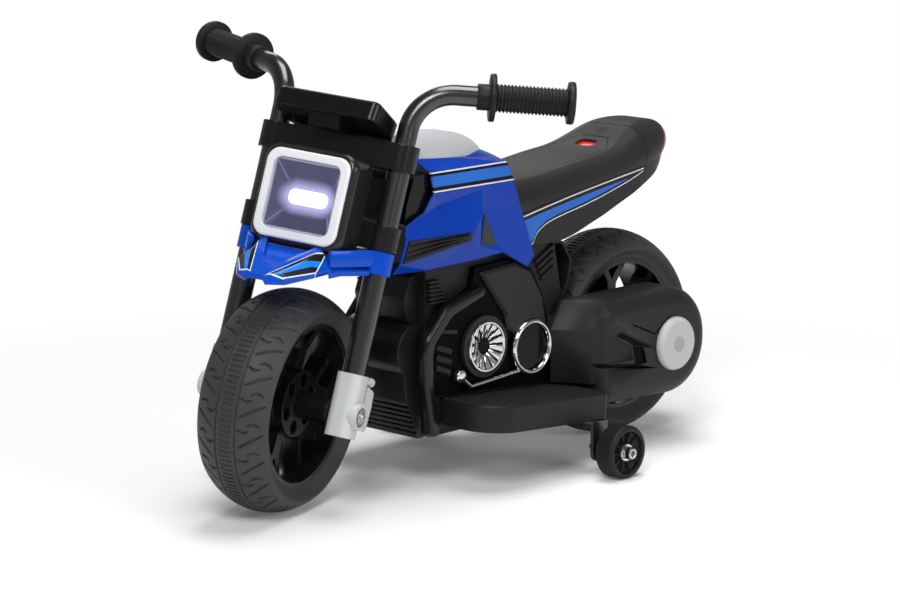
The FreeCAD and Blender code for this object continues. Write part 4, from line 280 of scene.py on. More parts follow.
satin_black = moulding("satin_black", (0.013, 0.0118, 0.0116), (0.018, 0.0165, 0.0162),
                       rough=0.42, grain=1400.0, grain_depth=0.00014, round_edge=0.0012, shine=0.22)
dress(satin_black, "body_halves", "head_neck")
piece("slatted_panel", slatted_panel(), satin_black, "chassis", "black_plastic")


# Battery, board, speaker, socket and switch: bought-in parts that sit in the frame shells. The battery is a
# moulded case, the board green laminate, the switch a black frame with a red rocker.
battery_case = moulding("battery_case", (0.03, 0.03, 0.034), (0.04, 0.04, 0.044),
                        rough=0.5, grain=700.0, grain_depth=0.00005, round_edge=0.0008)
board_green = moulding("board_green", (0.006, 0.07, 0.03), (0.008, 0.09, 0.035),
                       rough=0.4, grain=900.0, grain_depth=0.00004, round_edge=0.0004)
speaker_black = moulding("speaker_black", (0.012, 0.012, 0.012), (0.018, 0.018, 0.018),
                         rough=0.6, grain=1800.0, grain_depth=0.0001, round_edge=0.0004)
gloss_black = moulding("gloss_black", (0.004, 0.004, 0.0043), (0.006, 0.006, 0.0062),
                       rough=0.16, grain=500.0, grain_depth=0.00002, round_edge=0.0012, shine=0.28)
rocker_red = moulding("rocker_red", (0.55, 0.012, 0.008), (0.62, 0.016, 0.01),
                      rough=0.25, grain=500.0, grain_depth=0.00002, round_edge=0.0006)
dress(battery_case, "battery")
dress(board_green, "controller")
dress(speaker_black, "speaker")
dress(gloss_black, "charge_socket", "switch_frame")
dress(rocker_red, "power_rocker")

# Drive: nylon gears and a steel pinion in a black case with a lid, and a small motor in a steel can. The
# right cover hides all of it.
nylon = moulding("nylon", (0.78, 0.76, 0.7), (0.84, 0.82, 0.77),
                 rough=0.4, grain=600.0, grain_depth=0.00003, round_edge=0.0002)
zinc = moulding("zinc", (0.46, 0.46, 0.45), (0.6, 0.59, 0.56),
                rough=0.32, grain=500.0, grain_depth=0.00004, round_edge=0.0004, metal=1.0)
dress(satin_black, "gearbox_shell")
dress(nylon, "output_gear", "gear_cluster_a", "gear_cluster_b")
dress(zinc, "motor", "motor_pinion")

# Engine dress: black moulded shells shaped like a crankcase, clipped to the frame shells. The face behind the
# guard bar has painted shade. A gloss bar arches over each side, and a ribbed sump and a drum close the
# front.
powder_black = moulding("powder_black", (0.007, 0.007, 0.0073), (0.009, 0.009, 0.0094),
                        rough=0.22, grain=900.0, grain_depth=0.00004, round_edge=0.0012, shine=1.0)
drum_black = moulding("drum_black", (0.01, 0.0094, 0.0094), (0.014, 0.0132, 0.013),
                      rough=0.28, grain=1200.0, grain_depth=0.0001, round_edge=0.002, shine=0.3)
dress(satin_black, "cooling_fins")
dress(drum_black, "engine_front")


def paint(material, mask, colour):
    """Lays a colour over what a finish has, where the mask is 1."""
    target = shader_of(material).inputs["Base Color"]
    coat = add_node(material, "ShaderNodeMix", data_type="RGBA")
    feed(material, coat.inputs["Factor"], mask)
    feed(material, coat.inputs[6], target.links[0].from_socket)
    feed(material, coat.inputs[7], (*colour, 1))
    feed(material, target, coat.outputs[2])


def paint_shade(material, mask):
    """Paints shade into what lies deep in a piece: near black, with little left of the sheen that the finish
    has.
    """
    paint(material, mask, (0.0032, 0.003, 0.003))
    target = shader_of(material).inputs["Specular IOR Level"]
    shine = target.default_value
    feed(material, target, calc(material, "MULTIPLY_ADD", mask, -0.85 * shine, shine))


case_black = moulding("case_black", (0.016, 0.0148, 0.0146), (0.021, 0.0195, 0.0192),
                      rough=0.4, grain=1300.0, grain_depth=0.00012, round_edge=0.0015, shine=0.24)
case_flat, case_out = 0.0586, calc(case_black, "ABSOLUTE", axes(case_black)[1])
# Painted shade: the face behind the guard bar, below the raised plate, goes near black with little sheen.
paint_shade(case_black, calc(case_black, "LESS_THAN", case_out, case_flat))
dress(case_black, "engine_covers")
guard_black = moulding("guard_black", (0.005, 0.0048, 0.0048), (0.007, 0.0067, 0.0067),
                       rough=0.15, grain=900.0, grain_depth=0.00004, round_edge=0.004, shine=0.35)
dress(guard_black, "guard_bars")


def both_sides(mesh):
    """Adds the same shapes on the other side of the bike."""
    bmesh.ops.mirror(mesh, geom=mesh.verts[:] + mesh.edges[:] + mesh.faces[:], axis="Y", merge_dist=-1.0)
    bmesh.ops.recalc_face_normals(mesh, faces=mesh.faces)


def cover_ribs():
    face, rise = 0.0588, 0.0032
    mesh = bmesh.new()
    for k in range(3):
        drop = 0.0115 * k
        front, rear = (0.338, face, 0.159 - drop), (0.314 + 0.001 * k, face, 0.15 - drop)
        slat(mesh, front, rear, 0.0068, rise, (0, 1, 0))
    slat(mesh, (0.342, face, 0.177), (0.306, face, 0.171), 0.0052, rise, (0, 1, 0))
    both_sides(mesh)
    return mesh


piece("cover_ribs", cover_ribs(), satin_black, "chassis", "black_plastic")


# Turbine trims: on each side a bright ring round a dished fan of plated blades on a black hub, pressed into
# the cover's round bezel.
def turned(mesh, outline, steps, place=Matrix.Identity(4)):
    """Spins (radius, along) points about the place's Y axis. A closed outline ends where it began."""
    arm, axis = place.to_3x3() @ Vector((1, 0, 0)), place.to_3x3() @ Vector((0, 1, 0))
    centre = place.translation
    line = [mesh.verts.new(centre + arm * radius + axis * along) for radius, along in outline]
    edges = [mesh.edges.new(pair) for pair in zip(line, line[1:])]
    bmesh.ops.spin(mesh, geom=line + edges, cent=centre, axis=axis, angle=2 * pi, steps=steps, use_merge=True)
    bmesh.ops.remove_doubles(mesh, verts=mesh.verts, dist=1e-6)
    bmesh.ops.recalc_face_normals(mesh, faces=mesh.faces)


turbine_middle = Matrix.Translation((0.264, 0, 0.149))
chrome = moulding("chrome", (0.62, 0.63, 0.64), (0.7, 0.7, 0.7),
                  rough=0.05, grain=300.0, grain_depth=0.00001, round_edge=0.0005, metal=1.0)
hub_black = moulding("hub_black", (0.003, 0.003, 0.003), (0.004, 0.004, 0.004),
                     rough=0.3, grain=700.0, grain_depth=0.00003, round_edge=0.0006, shine=0.08)


def turbine_dish():
    outline = ((0, 0.0575), (0.0275, 0.0575), (0.0275, 0.0628), (0.0085, 0.0588), (0.0075, 0.0598),
               (0, 0.0602))
    mesh = bmesh.new()
    turned(mesh, outline, 64, turbine_middle)
    both_sides(mesh)
    return mesh


def turbine_blades():
    blades, inner, outer, low, high, narrowing = 15, 0.009, 0.0252, 0.0597, 0.0648, 0.66
    ring = ((0.0245, 0.058), (0.0282, 0.058), (0.0282, 0.0652), (0.0275, 0.066), (0.0258, 0.066),
            (0.0248, 0.065), (0.0245, 0.058))
    mesh = bmesh.new()
    turned(mesh, ring, 96, turbine_middle)
    for k in range(blades):
        turn = Matrix.Rotation(2 * pi * k / blades, 3, "Y")
        start, end = turn @ Vector((inner, low, 0)), turn @ Vector((outer, high, 0))
        facing = turn @ Vector((low - high, outer - inner, 0))
        fresh = len(mesh.verts)
        slat(mesh, turbine_middle @ start, turbine_middle @ end, 0.0078, 0.001, facing)
        mesh.verts.ensure_lookup_table()
        across = (turn @ Vector((0, 0, 1))).normalized()
        for vert in mesh.verts[fresh:]:
            out = vert.co - turbine_middle.translation
            reach = (hypot(out.x, out.z) - inner) / (outer - inner)
            vert.co -= across * out.dot(across) * narrowing * (1 - min(1, max(0, reach)))
    both_sides(mesh)
    return mesh


piece("turbine_dish", turbine_dish(), hub_black, "chassis", "black_plastic", "turbines")
piece("turbine_blades", turbine_blades(), chrome, "chassis", "chrome_trim")

# Side rings: a plated ring of oval section about a smoked lens on each side, with a bent plated rod to a
# flat-faced knob that stands on a black hexagon.
smoked = moulding("smoked", (0.003, 0.0028, 0.0028), (0.004, 0.0038, 0.0038),
                  rough=0.1, grain=300.0, grain_depth=0.00001, round_edge=0.0006, shine=0.14)
dress(smoked, "ring_lenses")
knob_x, knob_z = 0.305, 0.122


def side_rings():
    middle, radius, wide, tall = Matrix.Translation((0.191, 0, 0.138)), 0.0286, 0.0032, 0.0048
    seat, steps, rod, rod_out = 0.0628, 20, 0.0025, 0.0632
    mesh = bmesh.new()
    around = [2 * pi * k / steps for k in range(steps + 1)]
    turned(mesh, [(radius + wide * cos(turn), seat + tall * sin(turn)) for turn in around], 96, middle)
    path = [Vector((x, rod_out, z)) for x, z in ((knob_x, knob_z), (0.288, 0.108), (0.2115, 0.1137))]
    for start, end in zip(path, path[1:]):
        lie = (end - start).to_track_quat("Z", "Y").to_matrix().to_4x4()
        bmesh.ops.create_cone(mesh, cap_ends=True, segments=24, radius1=rod, radius2=rod,
                              depth=(end - start).length, matrix=Matrix.Translation((start + end) / 2) @ lie)
    bend = Matrix.Translation(path[1])
    bmesh.ops.create_uvsphere(mesh, u_segments=24, v_segments=12, radius=rod, matrix=bend)
    knob = ((0, 0.0595), (0.0072, 0.0595), (0.0072, 0.0652), (0.0068, 0.0661), (0.006, 0.0666),
            (0.003, 0.0669), (0, 0.0669))
    turned(mesh, knob, 48, Matrix.Translation((knob_x, 0, knob_z)))
    both_sides(mesh)
    return mesh


def knob_seats():
    place = Matrix.Translation((knob_x, 0.06, knob_z)) @ Matrix.Rotation(-pi / 2, 4, "X")
    mesh = bmesh.new()
    bmesh.ops.create_cone(mesh, cap_ends=True, segments=6, radius1=0.0098, radius2=0.0092, depth=0.0042,
                          matrix=place)
    soften(mesh, mesh.edges[:], 0.0005)
    both_sides(mesh)
    return mesh


piece("side_rings", side_rings(), chrome, "chassis", "chrome_trim", "chrome_rings", crease=40.0)
piece("knob_seats", knob_seats(), hub_black, "chassis", "black_plastic")


# Tank shrouds: blue gloss mouldings folded over both sides of the tank, with a painted band of light blue
# between black and white lines under the upper edge, and a saddle of the same plastic behind the tank top.
def between(material, value, low, high):
    """1 where a value lies between two limits."""
    return calc(material, "MULTIPLY", calc(material, "GREATER_THAN", value, low),
                calc(material, "LESS_THAN", value, high))


stripe_white, stripe_black, stripe_blue = (0.8, 0.82, 0.85), (0.012, 0.011, 0.011), (0.03, 0.16, 0.62)
shroud_blue = moulding("shroud_blue", (0.0015, 0.041, 0.38), (0.002, 0.048, 0.42),
                       rough=0.15, grain=400.0, grain_depth=0.00001, round_edge=0.0022, shine=0.19)
_, shroud_y, shroud_z = axes(shroud_blue)
band_top, band_side = 0.3525, 0.052
below_edge = calc(shroud_blue, "SUBTRACT", band_top, shroud_z)
on_side = calc(shroud_blue, "GREATER_THAN", calc(shroud_blue, "ABSOLUTE", shroud_y), band_side)
for low, high, colour in ((0.0, 0.0216, stripe_white), (0.0015, 0.02, stripe_black),
                          (0.0045, 0.016, stripe_blue)):
    in_band = between(shroud_blue, below_edge, low, high)
    paint(shroud_blue, calc(shroud_blue, "MULTIPLY", on_side, in_band), colour)
dress(shroud_blue, "shrouds")

# Vents and head panels: black plates snapped into the shrouds, with three long louvres ahead and a grey mesh
# insert behind, and gloss plates on either side of the head tube.
vent_black = moulding("vent_black", (0.005, 0.0048, 0.0048), (0.007, 0.0068, 0.0068),
                      rough=0.28, grain=900.0, grain_depth=0.00006, round_edge=0.0008, shine=0.25)
vent_x, _, vent_z = axes(vent_black)
mesh_front, mesh_pitch = 0.289, 0.0042
in_mesh = calc(vent_black, "LESS_THAN", vent_x, mesh_front)
strands = []
for lean in (1.0, -1.0):
    slant = calc(vent_black, "MULTIPLY_ADD", vent_z, lean, vent_x)
    wave = calc(vent_black, "SINE", calc(vent_black, "MULTIPLY", slant, 2 * pi / mesh_pitch))
    strands.append(calc(vent_black, "GREATER_THAN", wave, 0.45))
woven = calc(vent_black, "MAXIMUM", *strands)
paint(vent_black, calc(vent_black, "MULTIPLY", in_mesh, woven), (0.06, 0.064, 0.07))
dress(vent_black, "shroud_vents")
dress(gloss_black, "head_panels")


def louvres():
    mesh = bmesh.new()
    front_top, front_low = Vector((0.394, 0.0765, 0.2805)), Vector((0.397, 0.0742, 0.2635))
    rear_top, rear_low = Vector((0.306, 0.0785, 0.2802)), Vector((0.306, 0.0764, 0.275))
    for share in (0.12, 0.5, 0.88):
        front, rear = front_top.lerp(front_low, share), rear_top.lerp(rear_low, share)
        slat(mesh, front, rear, 0.0028, 0.003, (0, 1, 0.1))
    both_sides(mesh)
    return mesh


piece("louvres", louvres(), vent_black, "chassis", "black_plastic")

# Tank top: a crowned grey moulding between the shrouds, ahead of the seat, with a satin surface and softly
# rounded edges.
tank_grey = moulding("tank_grey", (0.5, 0.512, 0.53), (0.54, 0.552, 0.57),
                     rough=0.36, grain=900.0, grain_depth=0.00005, round_edge=0.0018, shine=0.35)
dress(tank_grey, "tank_top")


# Seat: one hollow black moulding with a leather-like grain. A panel line runs round its flat top, a crease
# parts off the tail, a painted flash runs along each side, and a red plate shows through the slot. The red of
# the tail lens goes on round the seat's end.
def seat_finish():
    finish = moulding("seat_grain", (0.02, 0.0182, 0.0178), (0.027, 0.0248, 0.0242),
                      rough=0.46, grain=620.0, grain_depth=0.0004, round_edge=0.0012, shine=0.2)
    x, y, z = axes(finish)
    side = calc(finish, "ABSOLUTE", y)
    flash_top, flash_slope, flash_bow, flash_length, flash_height = 0.317, -0.108, -0.248, 0.2, 0.04
    ahead = calc(finish, "ADD", x, 0.006)
    bow = calc(finish, "MULTIPLY", ahead, calc(finish, "SUBTRACT", x, 0.068))
    bow = calc(finish, "MULTIPLY", bow, flash_bow)
    crest = calc(finish, "ADD", calc(finish, "MULTIPLY_ADD", ahead, flash_slope, flash_top), bow)
    depth = calc(finish, "SUBTRACT", crest, z)
    curve = add_node(finish, "ShaderNodeFloatCurve")
    feed(finish, curve.inputs["Value"], calc(finish, "DIVIDE", calc(finish, "ADD", x, 0.007), flash_length))
    points = curve.mapping.curves[0].points
    reach = ((0, 0.1), (0.125, 0.2175), (0.31, 0.34), (0.54, 0.44), (0.73, 0.4675), (0.84, 0.5),
             (0.915, 0.61), (0.95, 0.775), (0.965, 0.915), (1, 1))
    points[0].location, points[1].location = reach[0], reach[-1]
    for place in reach[1:-1]:
        points.new(*place)
    for point in points:
        point.handle_type = "AUTO_CLAMPED"
    curve.mapping.update()
    foot = calc(finish, "MULTIPLY", curve.outputs[0], flash_height)
    on_flank = calc(finish, "MULTIPLY", calc(finish, "GREATER_THAN", side, 0.042),
                    between(finish, x, -0.0068, 0.26))
    for start, from_foot, colour in ((0.0, 0.0, stripe_white), (0.0015, 0.0012, stripe_black),
                                     (0.0056, 0.0038, stripe_blue)):
        in_band = between(finish, depth, start, calc(finish, "SUBTRACT", foot, from_foot))
        paint(finish, calc(finish, "MULTIPLY", in_band, on_flank), colour)
    panel_half, panel_rear, taper_from, taper = 0.038, 0.016, 0.036, 0.9
    behind = calc(finish, "MAXIMUM", calc(finish, "SUBTRACT", taper_from, x), 0.0)
    widened = calc(finish, "ADD", side, calc(finish, "MULTIPLY", behind, taper))
    panel = calc(finish, "MAXIMUM", calc(finish, "SUBTRACT", widened, panel_half),
                 calc(finish, "SUBTRACT", panel_rear, x))
    tail = calc(finish, "MAXIMUM", calc(finish, "SUBTRACT", -0.01, x), calc(finish, "ADD", depth, 0.003))
    on_top, line_edges = calc(finish, "GREATER_THAN", z, 0.318), (0.0003, 0.0012)
    panel_line = ramp(finish, calc(finish, "ABSOLUTE", panel), *line_edges, 1.0, 0.0)
    tail_line = ramp(finish, calc(finish, "ABSOLUTE", tail), *line_edges, 1.0, 0.0)
    lines = calc(finish, "MAXIMUM", calc(finish, "MULTIPLY", panel_line, on_top), tail_line)
    # Painted shade: the panel line and the tail crease are painted dark, and the bump below presses them in.
    paint(finish, calc(finish, "MULTIPLY", lines, 0.75), (0.006, 0.006, 0.006))
    shader = shader_of(finish)
    pressed = add_node(finish, "ShaderNodeBump", invert=True)
    feed(finish, pressed.inputs["Distance"], 0.0012)
    feed(finish, pressed.inputs["Height"], lines)
    feed(finish, pressed.inputs["Normal"], shader.inputs["Normal"].links[0].from_socket)
    feed(finish, shader.inputs["Normal"], pressed.outputs[0])
    # Painted shade: a near-black disc on the top stands for the shade inside a screw hole.
    from_hole = distance(finish, calc(finish, "SUBTRACT", x, 0.003), y)
    hole_shade = calc(finish, "MULTIPLY", ramp(finish, from_hole, 0.0052, 0.006, 1.0, 0.0), on_top)
    paint(finish, hole_shade, (0.002, 0.002, 0.002))
    tail_lean, red_length, red_foot = 0.35, 0.011, 0.321
    to_end = calc(finish, "ADD", x, calc(finish, "MULTIPLY_ADD", z, tail_lean, -0.0499))
    on_lens = calc(finish, "MULTIPLY", calc(finish, "LESS_THAN", to_end, red_length),
                   calc(finish, "GREATER_THAN", z, red_foot))
    paint(finish, on_lens, (0.66, 0.014, 0.006))
    smooth = add_node(finish, "ShaderNodeMix")
    feed(finish, smooth.inputs["Factor"], on_lens)
    feed(finish, smooth.inputs["A"], shader.inputs["Roughness"].links[0].from_socket)
    feed(finish, smooth.inputs["B"], 0.18)
    feed(finish, shader.inputs["Roughness"], smooth.outputs[0])
    return finish


seat_grain = seat_finish()
red_clear = moulding("red_clear", (0.72, 0.016, 0.006), (0.8, 0.022, 0.01),
                     rough=0.15, grain=300.0, grain_depth=0.00001, round_edge=0.0006)
dress(seat_grain, "seat")
dress(red_clear, "seat_insert", "tail_lens")


# Footboards: black moulded treads bolted to the frame shells, with rows of raised studs on top. The
# accelerator pedal is hinged on the right one and has ribs across it.
dress(satin_black, "footboards", "foot_pedal")


def board_studs():
    rows, columns, pitch, margin, inner = 29, 11, 0.0064, 0.01, 0.058
    rear, front, foot_height, slope, corner, rounding = 0.132, 0.322, 0.087, 0.0664, (0.294, 0.092), 0.032
    mesh = bmesh.new()
    for row in range(rows):
        for column in range(columns):
            x = rear + margin + pitch * row
            y = inner + pitch * (column + 0.5 * (row % 2))
            past_corner = x > corner[0] and y > corner[1] and hypot(x - corner[0], y - corner[1]) > rounding
            if past_corner or x > front:
                continue
            height = foot_height + slope * (x - rear)
            for side in (1, -1):
                under_pedal = side < 0 and 0.222 < x < 0.302 and 0.055 < y < 0.124
                if not under_pedal:
                    bmesh.ops.create_cone(mesh, cap_ends=True, segments=6, radius1=0.0021, radius2=0.0013,
                                          depth=0.0022, matrix=Matrix.Translation((x, side * y, height)))
    return mesh


def pedal_ribs():
    ribs, pitch, rear, slope, inner, outer = 6, 0.0088, 0.242, 0.282, -0.066, -0.112
    mesh = bmesh.new()
    for k in range(ribs):
        x = rear + pitch * k
        height = 0.1077 + slope * (x - 0.245)
        slat(mesh, (x, inner, height), (x, outer, height), 0.0034, 0.003, (-0.27, 0, 0.963))
    return mesh


piece("board_studs", board_studs(), satin_black, "chassis", "black_plastic")
piece("pedal_ribs", pedal_ribs(), satin_black, "pedal", "black_plastic")


# Rear covers: deep black mouldings screwed over the arm plates on each side, with a pressed-in panel, grooves
# and a folded line on the face in painted shade, and a round grey cap with a darker middle over the axle.
def prism(mesh, corners, low, high):
    """A flat outline in X and Z, raised along Y from one face to the other."""
    face = mesh.faces.new([mesh.verts.new((x, low, z)) for x, z in corners])
    raised = bmesh.ops.extrude_face_region(mesh, geom=[face])
    tops = [item for item in raised["geom"] if isinstance(item, bmesh.types.BMVert)]
    bmesh.ops.translate(mesh, vec=(0, high - low, 0), verts=tops)
    bmesh.ops.recalc_face_normals(mesh, faces=mesh.faces)


def carved(name, node, cutter, material, body, slot):
    """A merged copy of a CAD piece with shapes cut out of it, which stands for the piece."""
    mesh = bmesh.new()
    mesh.from_mesh(frame["nodes"][node].data)
    bmesh.ops.remove_doubles(mesh, verts=mesh.verts, dist=1e-6)
    shape = piece(name, mesh, material, body, slot, node, crease=30.0)
    tool_data = bpy.data.meshes.new(name + "_cutter")
    cutter.to_mesh(tool_data)
    cutter.free()
    tool = bpy.data.objects.new(name + "_cutter", tool_data)
    scene.collection.objects.link(tool)
    cut = shape.modifiers.new("cut", "BOOLEAN")
    cut.operation, cut.solver, cut.object = "DIFFERENCE", "EXACT", tool
    whole = shape.data
    result = bpy.data.meshes.new_from_object(shape.evaluated_get(bpy.context.evaluated_depsgraph_get()))
    shape.modifiers.clear()
    shape.data = result
    result.name = name
    bpy.data.objects.remove(tool)
    bpy.data.meshes.remove(tool_data)
    bpy.data.meshes.remove(whole)
    result.shade_smooth()
    result.set_sharp_from_angle(angle=radians(30.0))
    return shape


def inside_edges(finish, u, v, corners):
    """How far a point lies inside each edge of a flat convex outline; less than nothing beyond an edge."""
    distances = []
    for (start_u, start_v), (end_u, end_v) in zip(corners, corners[1:] + corners[:1]):
        length = hypot(end_u - start_u, end_v - start_v)
        lean_u, lean_v = (start_v - end_v) / length, (end_u - start_u) / length
        from_start = calc(finish, "MULTIPLY_ADD", v, lean_v, -lean_u * start_u - lean_v * start_v)
        distances.append(calc(finish, "MULTIPLY_ADD", u, lean_u, from_start))
    return distances


def least(finish, values):
    smallest = values[0]
    for value in values[1:]:
        smallest = calc(finish, "MINIMUM", smallest, value)
    return smallest


fold = ((0.0718, 0.1527), (0.034, 0.1367), (0.0072, 0.1537), (0.0062, 0.1523), (0.034, 0.1347),
        (0.0726, 0.1512))


def rear_cover_recesses():
    face, out, deep, shallow = 0.11, 0.113, 0.0021, 0.0014
    panels = (((0.126, 0.131), (0.108, 0.143), (0.076, 0.1285), (0.071, 0.111), (0.124, 0.1135)),
              ((0.100, 0.1465), (0.088, 0.1455), (0.036, 0.121), (0.063, 0.1285)),
              ((0.069, 0.1275), (0.053, 0.1235), (0.049, 0.104), (0.0665, 0.1065)),
              ((0.123, 0.1105), (0.067, 0.1035), (0.027, 0.0955), (0.119, 0.1045)))
    mesh = bmesh.new()
    for corners in panels:
        prism(mesh, corners, face - deep, out)
    prism(mesh, fold, face - shallow, out)
    both_sides(mesh)
    return mesh


cover_black = moulding("cover_black", (0.016, 0.0147, 0.0145), (0.022, 0.0204, 0.02),
                       rough=0.42, grain=1300.0, grain_depth=0.00014, round_edge=0.0015, shine=0.22)
cover_x, cover_y, cover_z = axes(cover_black)
inside_face, in_groove = 0.1, -1.0
on_face = calc(cover_black, "GREATER_THAN", calc(cover_black, "ABSOLUTE", cover_y), inside_face)
for groove in (((0.1012, 0.1433), (0.091, 0.1454), (0.0369, 0.1194), (0.072, 0.1284)),
               ((0.0728, 0.1285), (0.0534, 0.1225), (0.0467, 0.1044), (0.068, 0.1034)),
               ((0.1348, 0.1152), (0.0696, 0.1067), (0.0274, 0.095), (0.1246, 0.1091)),
               (fold[0], fold[1], fold[4], fold[5]),
               (fold[1], fold[2], fold[3], fold[4])):
    depth = least(cover_black, inside_edges(cover_black, cover_x, cover_z, groove))
    in_groove = calc(cover_black, "MAXIMUM", in_groove, depth)
# Painted shade: the grooves and the folded line on the outer face go near black, with little sheen.
groove_shade = calc(cover_black, "MULTIPLY", on_face, calc(cover_black, "GREATER_THAN", in_groove, 0.0))
paint_shade(cover_black, groove_shade)
carved("rear_cover_shells", "rear_covers", rear_cover_recesses(), cover_black, "chassis", "black_plastic")
dress(satin_black, "rear_arms", "splash_guard")
cap_grey = moulding("cap_grey", (0.5, 0.51, 0.52), (0.55, 0.56, 0.57),
                    rough=0.38, grain=900.0, grain_depth=0.00005, round_edge=0.0015, shine=0.4)
dress(cap_grey, "rear_caps")
centre_grey = moulding("centre_grey", (0.37, 0.375, 0.38), (0.41, 0.415, 0.42),
                       rough=0.42, grain=900.0, grain_depth=0.00005, round_edge=0.0015, shine=0.3)
rear_place = Matrix.Translation((0, 0, 0.12))


def cap_centres():
    outline = ((0, 0.1175), (0.0088, 0.1175), (0.0088, 0.1182), (0.0084, 0.1187), (0, 0.1188))
    mesh = bmesh.new()
    turned(mesh, outline, 48, rear_place)
    both_sides(mesh)
    return mesh


piece("cap_centres", cap_centres(), centre_grey, "chassis", "grey_plastic")


# Wheels: black moulded rims with forked spokes on steel axles, and one-piece foam tyres. The tread has a
# ribbed middle band between two grooves, and slanted and curved slots on the shoulders.
tread_pitches = 22


def tread_depth(turn, across):
    """How far the tread is cut in at a share of a turn and a distance from the middle, in metres."""
    bars, band, bar_depth, slot_depth = 132, 0.0076, 0.0015, 0.0024
    groove_start, groove_end, groove_depth = 0.0102, 0.0119, 0.0017
    shoulder, shoulder_width = 0.0135, 0.026
    side, reach = (0.0 if across > 0 else 0.5), abs(across)
    if reach < band:
        return bar_depth if (turn * bars) % 1 < 0.45 else 0.0
    if groove_start < reach < groove_end:
        return groove_depth
    pitch = (turn * tread_pitches + side) % 1
    share = (reach - shoulder) / shoulder_width
    slots = ((0.04, 0.94, 0.18 + 0.52 * share, 0.068),
             (-0.02, 0.44, 0.8 - 0.08 * sin(pi * share / 0.44), 0.055),
             (0.36, 0.82, 0.94 + 0.08 * sin(pi * (share - 0.36) / 0.46), 0.055))
    for start, end, middle, width in slots:
        if start < share < end:
            taper = sin(pi * (share - start) / (end - start)) ** 0.5
            away = abs((pitch - middle + 0.5) % 1 - 0.5)
            if away < width * taper:
                return slot_depth * min(1.0, 2.2 * (1 - away / (width * taper)))
    return 0.0


def foam_tyre(name, node, body, place):
    half, edge, crown, steps, rows = 0.0412, 0.1042, 0.12, 42, 84
    bow = (half ** 2 + (crown - edge) ** 2) / (2 * (crown - edge))
    wall = ((0.088, 0.032), (0.093, 0.034), (0.0965, 0.0378), (0.1, 0.0412), (0.1022, 0.0421))
    arc = [half - 2 * half * k / rows for k in range(rows + 1)]
    outline = list(wall) + [(crown - bow + sqrt(bow ** 2 - y ** 2), y) for y in arc]
    outline += [(radius, -y) for radius, y in reversed(wall)] + [wall[0]]
    axis, pitch = (0, 1, 0), 2 * pi / tread_pitches
    mesh = bmesh.new()
    line = [mesh.verts.new((radius, along, 0)) for radius, along in outline]
    edges = [mesh.edges.new(pair) for pair in zip(line, line[1:])]
    bmesh.ops.spin(mesh, geom=line + edges, axis=axis, angle=pitch, steps=steps)
    for vert in mesh.verts:
        radius = hypot(vert.co.x, vert.co.z)
        if radius > edge - 1e-5:
            share = (radius - tread_depth(atan2(vert.co.z, vert.co.x) / (2 * pi) + 0.5, vert.co.y)) / radius
            vert.co.x *= share
            vert.co.z *= share
    bmesh.ops.spin(mesh, geom=mesh.verts[:] + mesh.edges[:] + mesh.faces[:], axis=axis, angle=2 * pi - pitch,
                   steps=tread_pitches - 1, use_duplicate=True)
    bmesh.ops.remove_doubles(mesh, verts=mesh.verts, dist=2e-5)
    bmesh.ops.recalc_face_normals(mesh, faces=mesh.faces)
    piece(name, mesh, tyre_black, body, "tyre_black", node, place=place, crease=48.0)


joints = {joint["name"]: joint for joint in frame["joints"]}
steer_axis = Vector(joints["steering"]["axis"]).normalized()
axle_axis = Vector(joints["front_wheel_spin"]["axis"]).normalized()
front_place = Matrix((axle_axis.cross(steer_axis), axle_axis, steer_axis)).transposed().to_4x4()
front_place.translation = Vector(joints["front_wheel_spin"]["pos_m"])
tyre_black = moulding("tyre_black", (0.046, 0.043, 0.043), (0.062, 0.058, 0.058),
                      rough=0.5, grain=1500.0, grain_depth=0.00012, round_edge=0.0006, shine=0.25)
rim_black = moulding("rim_black", (0.006, 0.0058, 0.0058), (0.008, 0.0078, 0.0078),
                     rough=0.22, grain=900.0, grain_depth=0.00006, round_edge=0.0015, shine=0.4)
foam_tyre("rear_foam_tyre", "rear_tyre", "rear_wheel", rear_place)
foam_tyre("front_foam_tyre", "front_tyre", "front_wheel", front_place)
dress(rim_black, "rear_rim", "front_rim")
dress(zinc, "rear_axle", "front_axle")


# Training wheels: small black wheels with a ribbed tread and a dished, ribbed face, each on a bolt through a
# bent steel bracket, with a plated nut and washer outside.
bolt_x, bolt_z = 0.157, 0.03


def training_wheel(name, node, body, side):
    steps, ribs, rib_depth, spokes = 240, 60, 0.0007, 10
    facing = Matrix.Rotation(0 if side > 0 else pi, 4, "Z")
    middle = Matrix.Translation((bolt_x, 0.167 * side, bolt_z)) @ facing
    tread = [(0.03, -0.0085 + 0.017 * k / 10) for k in range(11)]
    outline = [(0.0056, -0.029), (0.009, -0.029), (0.009, -0.009), (0.02, -0.006), (0.0228, -0.008),
               (0.0236, -0.0112), (0.0248, -0.012), (0.0272, -0.0118), (0.0292, -0.0105), *tread,
               (0.0292, 0.0105), (0.0272, 0.0118), (0.0248, 0.012), (0.0236, 0.0112), (0.0228, 0.0065),
               (0.02, 0.0045), (0.0115, 0.0045), (0.0108, 0.0085), (0.0056, 0.0085), (0.0056, -0.029)]
    mesh = bmesh.new()
    turned(mesh, outline, steps)
    for vert in mesh.verts:
        radius = hypot(vert.co.x, vert.co.z)
        if radius > 0.0298 and (atan2(vert.co.z, vert.co.x) / (2 * pi) * ribs + 0.125) % 1 < 0.5:
            vert.co.x *= 1 - rib_depth / radius
            vert.co.z *= 1 - rib_depth / radius
    for k in range(spokes):
        turn = Matrix.Rotation(2 * pi * k / spokes, 3, "Y")
        start, end = turn @ Vector((0.0112, 0.0055, 0)), turn @ Vector((0.0231, 0.0068, 0))
        slat(mesh, start, end, 0.002, 0.0036, (0, 1, 0))
    piece(name, mesh, satin_black, body, "tyre_black", node, place=middle, crease=40.0)


